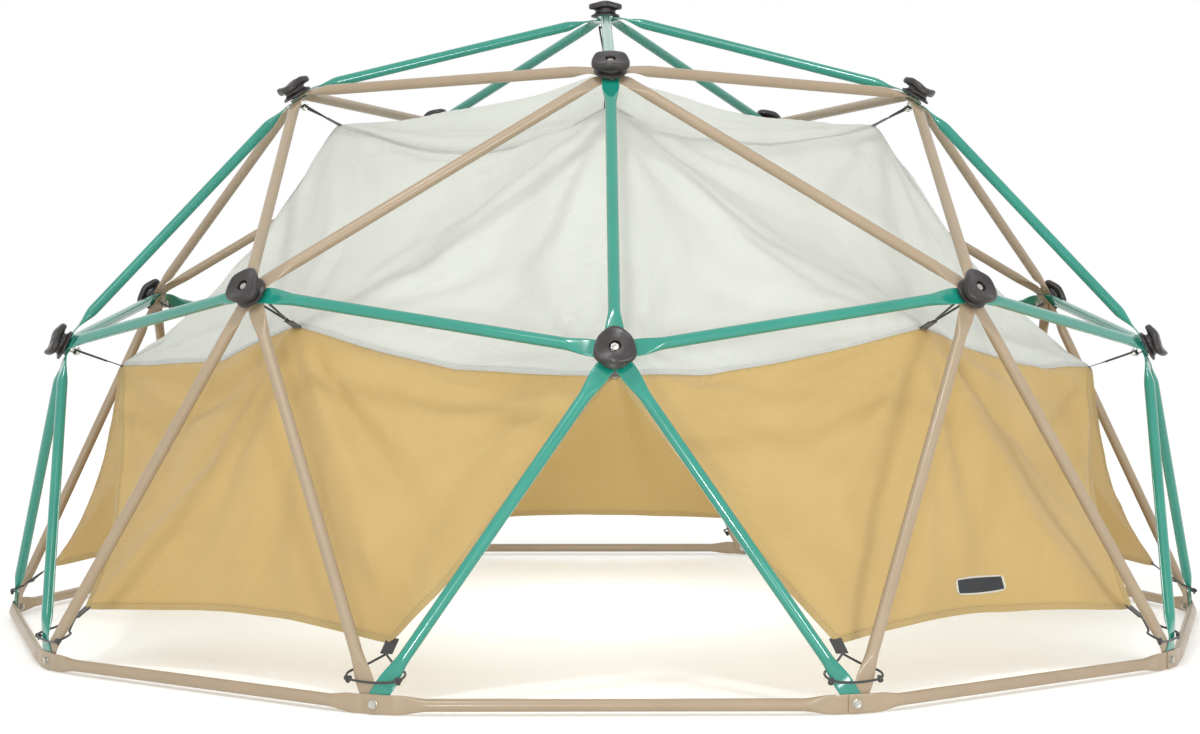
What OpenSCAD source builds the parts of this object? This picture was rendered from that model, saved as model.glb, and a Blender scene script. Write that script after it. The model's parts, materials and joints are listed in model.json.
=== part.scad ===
// Geodesic dome climber: a bolted hemisphere of crimped steel tubes in two lengths and two
// colours, with capped joints above the ground ring and a fabric play tent tied inside it.
// Millimetres, +Z up, origin on the ground under the apex. One door faces -Y.

/* [Frame] */
// Radius from the dome's centre to the outer face of each joint
dome_r = 1524; // [1000:1:1900]
// Outside diameter of the tubes
tube_d = 25.4; // [20:0.1:32]
// Wall thickness of the tubes
tube_wall = 1.2; // [0.9:0.05:1.6]
// Length over which a tube narrows from its flattened end to round
crimp_len = 70; // [50:1:110]
// Extra distance from a bolt to the bend in the flat, past the flat's own width
bend_clear = 1; // [0.5:0.5:12]
// Paint film left between two stacked flats
paint_gap = 0.1; // [0.05:0.05:0.3]

/* [Joint caps] */
// Width across the three lobes of a cap's outer plate
cap_d = 85; // [75:1:110]
// Radius of each of the plate's three lobes
cap_lobe_r = 19.5; // [15:0.5:25]
// Diameter of the plate's round middle, between the lobes
cap_core_d = 66; // [56:1:72]
// Height of a cap above the tubes
cap_h = 38; // [30:1:50]
// Thickness of a cap's outer plate
cap_plate = 13; // [9:1:16]
// Diameter of the foot that presses on the tubes
cap_foot_d = 74; // [60:1:80]
// Thickness of the foot
cap_foot_h = 6; // [4:1:9]
// Diameter of the waist between foot and plate
cap_waist_d = 52; // [40:1:56]
// Diameter of the recess for the bolt head
recess_d = 24; // [22:1:30]
// Depth of the recess for the bolt head
recess_h = 15; // [11:1:20]
// Depth of the dish in the outer plate
dish_h = 3; // [1:0.5:5]

/* [Fasteners] */
// Diameter of the bolts
bolt_d = 9.5; // [8:0.1:11]
// Radial clearance of a bolt in its holes
bolt_clear = 0.4; // [0.2:0.1:0.6]
// Width of bolt heads and nuts across their flats
hex_af = 14.3; // [13:0.1:16]
// Height of a bolt head
head_h = 6.4; // [5:0.1:8]
// Height of a nut
nut_h = 8; // [6:0.1:10]
// Outside diameter of the washers and of the bolt heads' collars
washer_d = 19; // [18:0.5:21]
// Thickness of a washer
washer_t = 1.6; // [1:0.1:2.5]
// Outside diameter of the flange on each lock nut that keeps a cord on its bolt
keeper_d = 24; // [20:1:28]

/* [Canopy] */
// Thickness of the fabric
fabric_t = 1.2; // [0.8:0.1:2.5]
// Drop from the apex joint to the tent's peak
peak_drop = 139; // [110:1:260]
// Inset of the crown corners from their joints, towards the dome's centre
crown_inset = 104; // [92:1:200]
// Angle that the crown corners sit nearer the apex than their joints
crown_lift = 1.9; // [0:0.1:4]
// Inset of the corners at the six-way middle joints
hex_inset = 152; // [100:1:240]
// Angle that those corners sit higher than their joints
hex_lift = 0.5; // [0:0.1:2]
// Inset of the corners at the five-way middle joints
pent_inset = 134; // [100:1:240]
// Angle that those corners sit higher than their joints
pent_lift = 0.6; // [0:0.1:2]
// Inset of the walls' bottom corners from the ground joints
hem_inset = 89; // [70:1:150]
// Height of the walls' bottom corners above the ground joints' bolts
hem_height = 104; // [95:1:160]

/* [Ties] */
// Diameter of the elastic cords
cord_d = 5; // [3:0.5:6]
// Length of a webbing tab
tab_len = 26; // [18:1:32]
// Width of a webbing tab
tab_w = 26; // [18:1:36]
// Thickness of a webbing tab
tab_t = 2.4; // [1.5:0.1:3.5]
// Length of the hook that joins a cord to its tab
hook_len = 14; // [10:1:18]
// Width of the hook
hook_w = 13; // [12:1:18]
// Thickness of the hook
hook_t = 7; // [6:0.5:10]

/* [Blank patch] */
// Length of the blank patch on one wall
patch_len = 150; // [60:1:170]
// Height of the blank patch
patch_h = 40; // [25:1:60]
// Thickness of the blank patch
patch_t = 0.8; // [0.5:0.1:1.5]
// Distance of the patch's centre from the wall's bottom corner nearer the front door
patch_along = 485; // [150:1:550]
// Height of the patch's centre above the hem
patch_up = 96; // [40:1:120]

/* [Hidden] */
SECTORS = [0:4];
$fn = 48;

// A 2-frequency icosahedral hemisphere: the crown ring lies half an icosahedron edge from
// the apex, and the five-way middle joints lie one whole edge from it.
half_edge = atan(2) / 2;
sector = 72;
crown_polar = half_edge;
pent_polar = 2 * half_edge;
hex_polar = 90 - half_edge;
base_polar = 90;

// A tube pressed flat is half its circumference wide and two walls thick.
flat_w = PI * tube_d / 2;
flat_t = 2 * tube_wall;
stack_pitch = flat_t + paint_gap;
bend_reach = flat_w + bend_clear;
centre_z = flat_w / 2;
bolt_hole_d = bolt_d + 2 * bolt_clear;

// Slack between the turned outline of a tube and the wedge that narrows its ends
crimp_relief = 0.1;
wedge_clear = 0.8;

// How far a cutting shape runs past the face that it cuts
overrun = 1;

// Depths below the innermost flat of a capped joint
nut_top = washer_t;
cord_top = nut_top + nut_h;
cord_slot = cord_d + 1;
keeper_top = cord_top + cord_slot;
keeper_t = 2;
keeper_nut_h = 6;
bolt_tail = 2;
bolt_end = keeper_top + keeper_t + keeper_nut_h + bolt_tail;

// Gaps: between a loose piece and its seat, along a seam, and at a hook's two ends
contact = 0.3;
seam_gap = 0.3;
touch = 0.1;

// Straight length of cord where it leaves a hook or a tab, and half the gap between its two legs
lead = 4;
leg_gap = 0.5;

function unit(v) = v / norm(v);
function on_sphere(polar, az) = [sin(polar) * sin(az), -sin(polar) * cos(az), cos(polar)];
function east(az) = [cos(az), sin(az), 0];
function crown_az(k) = sector * k;
function hex_az(k) = sector * (k + 0.5);
function base_az(j) = sector * (j + 0.5) / 2;

APEX = [0, 0, 1];
function crown_dir(k) = on_sphere(crown_polar, crown_az(k));
function pent_dir(k) = on_sphere(pent_polar, crown_az(k));
function hex_dir(k) = on_sphere(hex_polar, hex_az(k));
function base_dir(j) = on_sphere(base_polar, base_az(j));

// Capped joints: polar angle, azimuth and how many tubes are stacked there
CAPPED = concat(
    [[0, 0, 5]],
    [for (k = SECTORS) [crown_polar, crown_az(k), 6]],
    [for (k = SECTORS) [pent_polar, crown_az(k), 5]],
    [for (k = SECTORS) [hex_polar, hex_az(k), 6]]
);
BASE_TUBES = 4;
BASE_STACK = BASE_TUBES * stack_pitch + paint_gap;

// Corners of the tent, measured from the dome's centre
PEAK = [0, 0, dome_r - peak_drop];
function crown_corner(k) = (dome_r - crown_inset) * on_sphere(crown_polar - crown_lift, crown_az(k));
function hex_corner(k) = (dome_r - hex_inset) * on_sphere(hex_polar - hex_lift, hex_az(k));
function pent_corner(k) = (dome_r - pent_inset) * on_sphere(pent_polar - pent_lift, crown_az(k));
function base_corner(j) = (dome_r - hem_inset) * base_dir(j) + [0, 0, hem_height];

// One tie for each capped joint: joint direction, azimuth, stacked tubes and tent corner
TIES = concat(
    [[APEX, 0, 5, PEAK]],
    [for (k = SECTORS) [crown_dir(k), crown_az(k), 6, crown_corner(k)]],
    [for (k = SECTORS) [pent_dir(k), crown_az(k), 5, pent_corner(k)]],
    [for (k = SECTORS) [hex_dir(k), hex_az(k), 6, hex_corner(k)]]
);

function numbered(stem) = [for (k = SECTORS) str(stem, k + 1)];

TEAL = "#2f9e8b";
TAN = "#a8957a";
CAP_BLACK = "#3f3b39";
ZINC = "#b9bcc0";
ROOF_CLOTH = "#d9dbd1";
WALL_CLOTH = "#c8a45c";
WEBBING = "#1e1e1f";

// Puts children in a right-handed frame whose axes and origin are given.
module in_frame(x_axis, y_axis, z_axis, origin) {
    multmatrix([
        [x_axis[0], y_axis[0], z_axis[0], origin[0]],
        [x_axis[1], y_axis[1], z_axis[1], origin[1]],
        [x_axis[2], y_axis[2], z_axis[2], origin[2]],
        [0, 0, 0, 1]
    ]) children();
}

// Lifts children so that the lowest flats rest on the ground.
module on_ground() {
    translate([0, 0, centre_z]) children();
}

// Puts children on a joint's painted outer face: X east, Y up the dome, Z outwards.
module at_joint(polar, az) {
    on_ground() rotate([polar, 0, az]) translate([0, 0, dome_r + paint_gap]) children();
}

// ---- struts ----

function stack_centre(dir, level) = (dome_r - level * stack_pitch - flat_t / 2) * dir;
function tangent(from, to) = unit(to - (to * from) * from);
function bend_point(from, to, level) = stack_centre(from, level) + bend_reach * tangent(from, to);

// Round tube with both ends narrowed to flats: a turned outline cut by a double wedge.
module tube_body(length) {
    round_r = tube_d / 2;
    wide_r = flat_w / 2 - crimp_relief;
    wedge = round_r + wedge_clear;
    difference() {
        intersection() {
            rotate_extrude()
                polygon([
                    [0, 0], [wide_r, 0], [round_r, crimp_len],
                    [round_r, length - crimp_len], [wide_r, length], [0, length]
                ]);
            rotate([90, 0, 90]) linear_extrude(height = 2 * flat_w, center = true)
                polygon([
                    [-flat_t / 2, 0], [flat_t / 2, 0], [wedge, crimp_len],
                    [wedge, length - crimp_len], [flat_t / 2, length], [-flat_t / 2, length],
                    [-wedge, length - crimp_len], [-wedge, crimp_len]
                ]);
        }
        translate([0, 0, crimp_len]) cylinder(r = round_r - tube_wall, h = length - 2 * crimp_len);
    }
}

// Flattened end with a rounded tip and a bolt hole, in the plane that touches the dome.
module flat_end(from, to, level) {
    mitre = 0.6;
    in_frame(unit(cross(to, from)), tangent(from, to), from, stack_centre(from, level))
        difference() {
            union() {
                cylinder(d = flat_w, h = flat_t, center = true);
                translate([-flat_w / 2, 0, -flat_t / 2]) cube([flat_w, bend_reach + mitre, flat_t]);
            }
            cylinder(d = bolt_hole_d, h = 2 * flat_t, center = true);
        }
}

// Tube between two joints. Each end takes its own level in the stack on that joint's bolt.
module strut(from, to, from_level, to_level) {
    start = bend_point(from, to, from_level);
    end = bend_point(to, from, to_level);
    axis = unit(end - start);
    width = unit(cross(from, to));
    on_ground() union() {
        in_frame(width, cross(axis, width), axis, start) tube_body(norm(end - start));
        flat_end(from, to, from_level);
        flat_end(to, from, to_level);
    }
}

module crown_strut(k) {
    color(TEAL) strut(APEX, crown_dir(k), k, 0);
}

module crown_ring_strut(k) {
    color(TAN) strut(crown_dir(k), crown_dir(k + 1), 1, 2);
}

module upper_short_strut(k) {
    color(TEAL) strut(crown_dir(k), pent_dir(k), 3, 0);
}

module upper_long_struts(k) {
    color(TAN) {
        strut(crown_dir(k), hex_dir(k), 4, 0);
        strut(crown_dir(k), hex_dir(k - 1), 5, 1);
    }
}

module middle_short_struts(k) {
    color(TEAL) {
        strut(pent_dir(k), hex_dir(k), 1, 2);
        strut(pent_dir(k), hex_dir(k - 1), 2, 3);
    }
}

module lower_short_struts(k) {
    color(TEAL) {
        strut(pent_dir(k), base_dir(2 * k), 3, 2);
        strut(pent_dir(k), base_dir(2 * k - 1), 4, 2);
    }
}

module lower_long_struts(k) {
    color(TAN) {
        strut(hex_dir(k), base_dir(2 * k), 4, 3);
        strut(hex_dir(k), base_dir(2 * k + 1), 5, 3);
    }
}

module ground_ring_struts(k) {
    color(TAN) {
        strut(base_dir(2 * k - 1), base_dir(2 * k), 0, 1);
        strut(base_dir(2 * k), base_dir(2 * k + 1), 0, 1);
    }
}

// ---- joint hardware ----

module hexagon(height) {
    cylinder(d = hex_af / cos(30), h = height, $fn = 6);
}

module washer() {
    difference() {
        cylinder(d = washer_d, h = washer_t);
        translate([0, 0, -overrun]) cylinder(d = bolt_hole_d, h = washer_t + 2 * overrun);
    }
}

module nut(height) {
    difference() {
        hexagon(height);
        translate([0, 0, -overrun]) cylinder(d = bolt_d, h = height + 2 * overrun);
    }
}

// Collared hexagon head above z = 0 with its shank below.
module bolt(shank) {
    cylinder(d = washer_d, h = washer_t);
    hexagon(head_h);
    translate([0, 0, -shank]) cylinder(d = bolt_d, h = shank + washer_t);
}

module hub_cap() {
    dish_r = (cap_d * cap_d / 4 + dish_h * dish_h) / (2 * dish_h);
    difference() {
        union() {
            cylinder(d = cap_foot_d, h = cap_foot_h);
            cylinder(d = cap_waist_d, h = cap_h - cap_plate + overrun);
            translate([0, 0, cap_h - cap_plate]) linear_extrude(height = cap_plate) {
                circle(d = cap_core_d);
                for (turn = [90, 210, 330])
                    rotate(turn) translate([cap_d / 2 - cap_lobe_r, 0]) circle(r = cap_lobe_r);
            }
        }
        translate([0, 0, cap_h - dish_h + dish_r]) sphere(r = dish_r);
        translate([0, 0, cap_h - recess_h]) cylinder(d = recess_d, h = recess_h + overrun);
        translate([0, 0, -overrun]) cylinder(d = bolt_hole_d, h = cap_h);
    }
}

// Repeats children on each capped joint and tells them the depth of its stack.
module on_capped() {
    for (joint = CAPPED)
        at_joint(joint[0], joint[1]) {
            $stack = joint[2] * stack_pitch + paint_gap;
            children();
        }
}

module on_base() {
    for (j = [0:9]) at_joint(base_polar, base_az(j)) children();
}

module hub_caps() {
    color(CAP_BLACK) on_capped() hub_cap();
}

module hub_bolts() {
    head_z = cap_h - recess_h;
    color(ZINC) on_capped() translate([0, 0, head_z]) bolt(head_z + $stack + bolt_end);
}

module hub_washers() {
    color(ZINC) on_capped() translate([0, 0, -$stack - washer_t]) washer();
}

module hub_nuts() {
    color(ZINC) on_capped() translate([0, 0, -$stack - nut_top - nut_h]) nut(nut_h);
}

// Nut with a flange that faces the stack, so that a cord can't slip off the bolt.
module hub_keeper_nuts() {
    color(ZINC) on_capped() translate([0, 0, -$stack - keeper_top - keeper_t - keeper_nut_h])
        difference() {
            union() {
                hexagon(keeper_nut_h + keeper_t);
                translate([0, 0, keeper_nut_h]) cylinder(d = keeper_d, h = keeper_t);
            }
            translate([0, 0, -overrun]) cylinder(d = bolt_d, h = keeper_nut_h + keeper_t + 2 * overrun);
        }
}

module ground_bolts() {
    color(ZINC) on_base() bolt(BASE_STACK + washer_t + nut_h + bolt_tail);
}

module ground_washers() {
    color(ZINC) on_base() translate([0, 0, -BASE_STACK - washer_t]) washer();
}

module ground_nuts() {
    color(ZINC) on_base() translate([0, 0, -BASE_STACK - washer_t - nut_h]) nut(nut_h);
}

// ---- canopy ----

function inradius(a, b, c) =
    norm(cross(b - a, c - a)) / (norm(b - a) + norm(c - b) + norm(a - c));
function towards(point, middle, share) = point + share * (middle - point);
function thinned(point) = point * (1 - fabric_t / norm(point));

// One panel of cloth: its corners run anticlockwise seen from outside, its edges are mitred
// towards the dome's centre, and half a seam's width is left clear along each of them.
module panel(a, b, c) {
    share = seam_gap / 2 / inradius(a, b, c);
    middle = (a + b + c) / 3;
    outer = [for (p = [a, b, c]) towards(p, middle, share)];
    inner = [for (p = outer) thinned(p)];
    on_ground() polyhedron(
        points = concat(outer, inner),
        faces = [[2, 1, 0], [3, 4, 5], [0, 1, 4], [0, 4, 3], [1, 2, 5], [1, 5, 4], [2, 0, 3], [2, 3, 5]]
    );
}

module canopy_crown() {
    color(ROOF_CLOTH) for (k = SECTORS) panel(PEAK, crown_corner(k), crown_corner(k + 1));
}

module canopy_roof() {
    color(ROOF_CLOTH) for (k = SECTORS) {
        panel(crown_corner(k), hex_corner(k), crown_corner(k + 1));
        panel(crown_corner(k), pent_corner(k), hex_corner(k));
        panel(crown_corner(k), hex_corner(k - 1), pent_corner(k));
    }
}

module canopy_wall(k) {
    color(WALL_CLOTH) {
        panel(hex_corner(k), base_corner(2 * k), base_corner(2 * k + 1));
        panel(hex_corner(k), pent_corner(k), base_corner(2 * k));
        panel(hex_corner(k), base_corner(2 * k + 1), pent_corner(k + 1));
    }
}

// Bare sewn patch, flat against the outside of the wall to the right of the front door.
module blank_patch() {
    left = base_corner(0);
    right = base_corner(1);
    along = unit(right - left);
    out = unit(cross(right - left, hex_corner(0) - left));
    up = cross(out, along);
    place = left + patch_along * along + patch_up * up + contact * out;
    color(WEBBING) on_ground() in_frame(along, up, out, place)
        translate([-patch_len / 2, -patch_h / 2, 0]) cube([patch_len, patch_h, patch_t]);
}

// ---- ties ----

// Point where a cord passes round its bolt, between the two nuts
function cord_eye(tie) = (dome_r - tie[2] * stack_pitch - cord_top - cord_slot / 2) * tie[0];
function tie_dir(tie) = unit(cord_eye(tie) - tie[3]);
function base_pull(j) = unit(dome_r * base_dir(j) + [0, 0, flat_w] - base_corner(j));

// Cube from z = 0 upwards, centred on the line that runs from a tent corner along pull.
module on_pull(corner, pull, az, start, size) {
    side = east(az);
    on_ground() in_frame(side, cross(pull, side), pull, corner + start * pull)
        translate([-size[0] / 2, -size[1] / 2, 0]) cube(size);
}

module corner_tabs() {
    color(WEBBING) {
        for (tie = TIES)
            on_pull(tie[3], tie_dir(tie), tie[1], contact, [tab_w, tab_t, tab_len - contact]);
        for (j = [0:9])
            on_pull(base_corner(j), base_pull(j), base_az(j), contact, [tab_w, tab_t, tab_len - contact]);
    }
}

module corner_hooks() {
    color(CAP_BLACK) for (tie = TIES)
        on_pull(tie[3], tie_dir(tie), tie[1], tab_len + touch, [hook_w, hook_t, hook_len - 2 * touch]);
}

// Frame of a cord's cross-section at point i of a path, turned as little as it can be
function heading(path, i) =
    i == 0 ? unit(path[1] - path[0]) :
    i == len(path) - 1 ? unit(path[i] - path[i - 1]) :
    unit(unit(path[i + 1] - path[i]) + unit(path[i] - path[i - 1]));
function across(path, i, last) = unit(last - (last * heading(path, i)) * heading(path, i));
function frames(path, i, last) =
    i == len(path) ? [] : concat([across(path, i, last)], frames(path, i + 1, across(path, i, last)));

// Eight-sided tube swept along an open path, closed at both ends.
module cord(path, first) {
    sides = 8;
    rings = len(path);
    normals = frames(path, 0, first);
    points = [
        for (i = [0:rings - 1], s = [0:sides - 1])
            path[i] + cord_d / 2 * (cos(s * 360 / sides) * normals[i]
                + sin(s * 360 / sides) * cross(heading(path, i), normals[i]))
    ];
    walls = [
        for (i = [0:rings - 2], s = [0:sides - 1])
            let (a = i * sides + s, b = i * sides + (s + 1) % sides)
                each [[a, a + sides, b], [b, a + sides, b + sides]]
    ];
    ends = [[for (s = [0:sides - 1]) s], [for (s = [sides - 1:-1:0]) (rings - 1) * sides + s]];
    polyhedron(points = points, faces = concat(walls, ends));
}

// Cord from its hook up past the keeper's flange, round the bolt and back.
// Path points are in the joint's frame: X east, Y up the dome, Z outwards from the bolt's eye.
module hanger_cord(tie) {
    side = east(tie[1]);
    up = cross(tie[0], side);
    eye = cord_eye(tie);
    foot = tie[3] + (tab_len + hook_len) * tie_dir(tie);
    loop_r = bolt_d / 2 + contact + cord_d / 2;
    leg_x = keeper_d / 2 + contact + cord_d / 2;
    half = [
        [loop_r + 3, 1.5, 0],
        [leg_x - 1.6, 1.5, -0.6],
        [leg_x, 1.5, -4]
    ];
    spread = cord_d / 2 + leg_gap;
    path = concat(
        [foot - spread * side, foot + lead * tie_dir(tie) - spread * side],
        [for (i = [2:-1:0]) eye + [-half[i][0], half[i][1], half[i][2]] * [side, up, tie[0]]],
        [for (turn = [180:30:360]) eye + loop_r * (cos(turn) * side + sin(turn) * up)],
        [for (i = [0:2]) eye + half[i] * [side, up, tie[0]]],
        [foot + lead * tie_dir(tie) + spread * side, foot + spread * side]
    );
    on_ground() cord(path, side);
}

module hanger_cords() {
    color(WEBBING) for (tie = TIES) hanger_cord(tie);
}

// Cord from a wall's bottom tab, round the outside of both rising tubes and back.
// Points of its right half: X east, Y up, Z outwards from the ground joint's outer face.
TIE_DOWN = [
    [36, 67, -38], [51, 62, -34], [60, 57, -20], [58, 51, -6], [46, 46, -1], [24, 43, -1], [0, 42, -1]
];

module ground_cord(j) {
    side = east(base_az(j));
    out = base_dir(j);
    foot = base_corner(j) + (tab_len + touch) * base_pull(j);
    spread = cord_d / 2 + leg_gap;
    right = [for (p = TIE_DOWN) dome_r * out + p * [side, [0, 0, 1], out]];
    left = [for (p = TIE_DOWN) dome_r * out + [-p[0], p[1], p[2]] * [side, [0, 0, 1], out]];
    path = concat(
        [foot - spread * side, foot + lead * base_pull(j) - spread * side],
        [for (i = [0:5]) left[i]],
        [for (i = [6:-1:0]) right[i]],
        [foot + lead * base_pull(j) + spread * side, foot + spread * side]
    );
    on_ground() cord(path, side);
}

module ground_cords() {
    color(WEBBING) for (j = [0:9]) ground_cord(j);
}

for (k = SECTORS) {
    crown_strut(k);
    crown_ring_strut(k);
    upper_short_strut(k);
    upper_long_struts(k);
    middle_short_struts(k);
    lower_short_struts(k);
    lower_long_struts(k);
    ground_ring_struts(k);
    canopy_wall(k);
}
hub_caps();
hub_bolts();
hub_washers();
hub_nuts();
hub_keeper_nuts();
ground_bolts();
ground_washers();
ground_nuts();
canopy_crown();
canopy_roof();
corner_tabs();
corner_hooks();
hanger_cords();
ground_cords();
blank_patch();
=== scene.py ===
"""Looks of a dome climber: crimped powder-coated tubes, moulded joint caps and a tied-in play tent.

Everything is in metres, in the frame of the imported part: +Z up, origin on the ground under the apex.
"""

import json
import logging
import math
from dataclasses import dataclass, field
from enum import Enum
from typing import Any, Callable, Sequence

import bmesh
import bpy
import numpy as np
from mathutils import Matrix, Vector
from mathutils.bvhtree import BVHTree

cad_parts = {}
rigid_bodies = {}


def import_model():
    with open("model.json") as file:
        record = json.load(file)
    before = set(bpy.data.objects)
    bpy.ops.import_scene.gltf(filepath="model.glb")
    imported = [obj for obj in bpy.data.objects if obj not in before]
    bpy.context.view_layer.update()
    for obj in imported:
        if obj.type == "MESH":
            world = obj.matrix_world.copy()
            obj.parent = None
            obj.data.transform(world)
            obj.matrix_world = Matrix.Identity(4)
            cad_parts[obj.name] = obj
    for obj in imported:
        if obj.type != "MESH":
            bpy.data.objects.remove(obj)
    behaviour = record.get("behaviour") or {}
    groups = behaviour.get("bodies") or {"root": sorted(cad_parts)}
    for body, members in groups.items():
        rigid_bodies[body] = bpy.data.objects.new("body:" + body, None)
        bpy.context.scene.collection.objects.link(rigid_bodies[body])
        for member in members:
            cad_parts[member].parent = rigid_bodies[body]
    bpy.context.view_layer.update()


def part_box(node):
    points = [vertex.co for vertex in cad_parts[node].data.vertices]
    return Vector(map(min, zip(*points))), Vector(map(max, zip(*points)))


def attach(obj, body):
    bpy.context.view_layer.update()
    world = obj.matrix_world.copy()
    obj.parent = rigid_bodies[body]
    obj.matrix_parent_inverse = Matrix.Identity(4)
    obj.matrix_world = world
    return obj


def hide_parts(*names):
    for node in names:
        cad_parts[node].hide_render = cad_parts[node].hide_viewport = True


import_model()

log = logging.getLogger("dome_climber")
Vec = np.ndarray
MeshData = tuple[np.ndarray, list[tuple[int, ...]]]
Station = tuple[Vec, Vec, float, float]
ROOT = "root"
SECTORS = range(5)
UP = np.array([0.0, 0.0, 1.0])
EAST = np.array([1.0, 0.0, 0.0])

# Angles in degrees above which an edge is drawn sharp
TUBE_CREASE = 50
HARDWARE_CREASE = 32
CLOTH_CREASE = 40

# Where a solid of revolution meets its axis, so small that the pole looks closed
POLE = 0.00001


# ---- units, vectors and colours ----


def mm(value: float) -> float:
    """Millimetres to metres."""
    return value / 1000.0


def unit(v: Vec) -> Vec:
    """The vector at length one."""
    return v / np.linalg.norm(v)


def on_sphere(polar: float, azimuth: float) -> Vec:
    """Direction at an angle from the apex and an azimuth that starts at the front door.

    Args:
        polar: degrees from +Z.
        azimuth: degrees from -Y towards +X.
    Returns:
        A unit vector.
    """
    p, a = math.radians(polar), math.radians(azimuth)
    return np.array([math.sin(p) * math.sin(a), -math.sin(p) * math.cos(a), math.cos(p)])


def smooth(u: Any) -> Any:
    """Ease from 0 to 1 with level ends, for a number or an array clipped to that range."""
    u = np.clip(u, 0.0, 1.0)
    return u * u * (3.0 - 2.0 * u)


def linear(code: str) -> tuple[float, float, float, float]:
    """An sRGB hex colour as the linear RGBA that shaders take.

    Args:
        code: colour as #rrggbb.
    Returns:
        Red, green, blue and an alpha of one.
    """
    def channel(c: float) -> float:
        """One channel by the sRGB curve."""
        return c / 12.92 if c <= 0.04045 else ((c + 0.055) / 1.055) ** 2.4

    code = code.lstrip("#")
    red, green, blue = (channel(int(code[i:i + 2], 16) / 255) for i in (0, 2, 4))
    return red, green, blue, 1.0


# ---- node trees ----


def add_node(tree: bpy.types.NodeTree, kind: str, settings: dict[str, Any] | None = None,
             inputs: dict[Any, Any] | None = None) -> bpy.types.Node:
    """Adds one node with its settings, input values and links.

    Args:
        tree: shader or geometry tree.
        kind: the node's type name.
        settings: attributes of the node, such as an operation.
        inputs: socket name or index to a value, or to the output socket that feeds it.
    Returns:
        The new node.
    """
    node = tree.nodes.new(kind)
    for name, value in (settings or {}).items():
        setattr(node, name, value)
    for key, value in (inputs or {}).items():
        if isinstance(value, bpy.types.NodeSocket):
            tree.links.new(value, node.inputs[key])
        else:
            node.inputs[key].default_value = value
    return node


class Tree:
    """A Geometry Nodes tree with named inputs and one geometry output."""

    def __init__(self, name: str, sockets: dict[str, str]) -> None:
        """Makes the tree and its inputs.

        Args:
            name: the tree's name.
            sockets: input name to socket type.
        """
        self.tree = bpy.data.node_groups.new(name, "GeometryNodeTree")
        self.tree.interface.new_socket("Geometry", in_out="INPUT", socket_type="NodeSocketGeometry")
        self.ids = {
            label: self.tree.interface.new_socket(label, in_out="INPUT", socket_type=kind).identifier
            for label, kind in sockets.items()
        }
        self.tree.interface.new_socket("Geometry", in_out="OUTPUT", socket_type="NodeSocketGeometry")
        self.inputs = self.add("NodeGroupInput").outputs

    def add(self, kind: str, settings: dict[str, Any] | None = None,
            inputs: dict[Any, Any] | None = None) -> bpy.types.Node:
        """Adds a node to this tree."""
        return add_node(self.tree, kind, settings, inputs)

    def close(self, geometry: bpy.types.NodeSocket) -> None:
        """Ends the tree in Realize Instances and Set Material.

        Args:
            geometry: what the tree has made.
        """
        whole = self.add("GeometryNodeRealizeInstances", inputs={"Geometry": geometry})
        dressed = self.add("GeometryNodeSetMaterial", inputs={
            "Geometry": whole.outputs["Geometry"], "Material": self.inputs["Finish"]})
        self.add("NodeGroupOutput", inputs={"Geometry": dressed.outputs["Geometry"]})

    def apply(self, name: str, source: bpy.types.Object, values: dict[str, Any]) -> bpy.types.Object:
        """Runs the tree on an object and keeps the result as a plain mesh.

        Args:
            name: name of the new piece.
            source: object whose mesh feeds the tree; it is removed afterwards.
            values: input name to value.
        Returns:
            The new object, at the origin, with no modifier.
        """
        modifier = source.modifiers.new(self.tree.name, "NODES")
        modifier.node_group = self.tree
        for label, value in values.items():
            modifier[self.ids[label]] = value
        bpy.context.view_layer.update()
        evaluated = source.evaluated_get(bpy.context.evaluated_depsgraph_get())
        mesh = bpy.data.meshes.new_from_object(evaluated)
        source.modifiers.remove(modifier)
        bpy.data.objects.remove(source)
        mesh.name = name
        return link(bpy.data.objects.new(name, mesh))


# ---- meshes ----


def link(item: bpy.types.Object) -> bpy.types.Object:
    """Puts an object into the scene."""
    bpy.context.scene.collection.objects.link(item)
    return item


def mesh_object(name: str, data: MeshData, finish: bpy.types.Material | None = None) -> bpy.types.Object:
    """Makes a smooth-shaded object at the origin from vertices and faces.

    Args:
        name: the object's name.
        data: vertices in metres and faces that point outwards.
        finish: material, or None for a helper that isn't shown.
    Returns:
        The new object.
    """
    verts, faces = data
    mesh = bpy.data.meshes.new(name)
    mesh.from_pydata(np.asarray(verts, float).tolist(), [], [tuple(map(int, f)) for f in faces])
    mesh.shade_smooth()
    if finish is not None:
        mesh.materials.append(finish)
    mesh.validate()
    return link(bpy.data.objects.new(name, mesh))


def path_object(name: str, paths: Sequence[Vec], normals: Sequence[Vec] | None = None) -> bpy.types.Object:
    """Makes a helper of open polylines, each vertex with its own facing direction.

    Args:
        name: the helper's name.
        paths: points of each polyline.
        normals: facing directions of each polyline's points, or None for straight up.
    Returns:
        The new object.
    """
    verts, edges, facing = [], [], []
    for i, path in enumerate(paths):
        first = len(verts)
        verts += [tuple(p) for p in path]
        edges += [(first + j, first + j + 1) for j in range(len(path) - 1)]
        facing += [tuple(n) for n in (normals[i] if normals is not None else [UP] * len(path))]
    mesh = bpy.data.meshes.new(name)
    mesh.from_pydata(verts, edges, [])
    layer = mesh.attributes.new("facing", "FLOAT_VECTOR", "POINT")
    layer.data.foreach_set("vector", np.array(facing, float).ravel())
    return link(bpy.data.objects.new(name, mesh))


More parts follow.
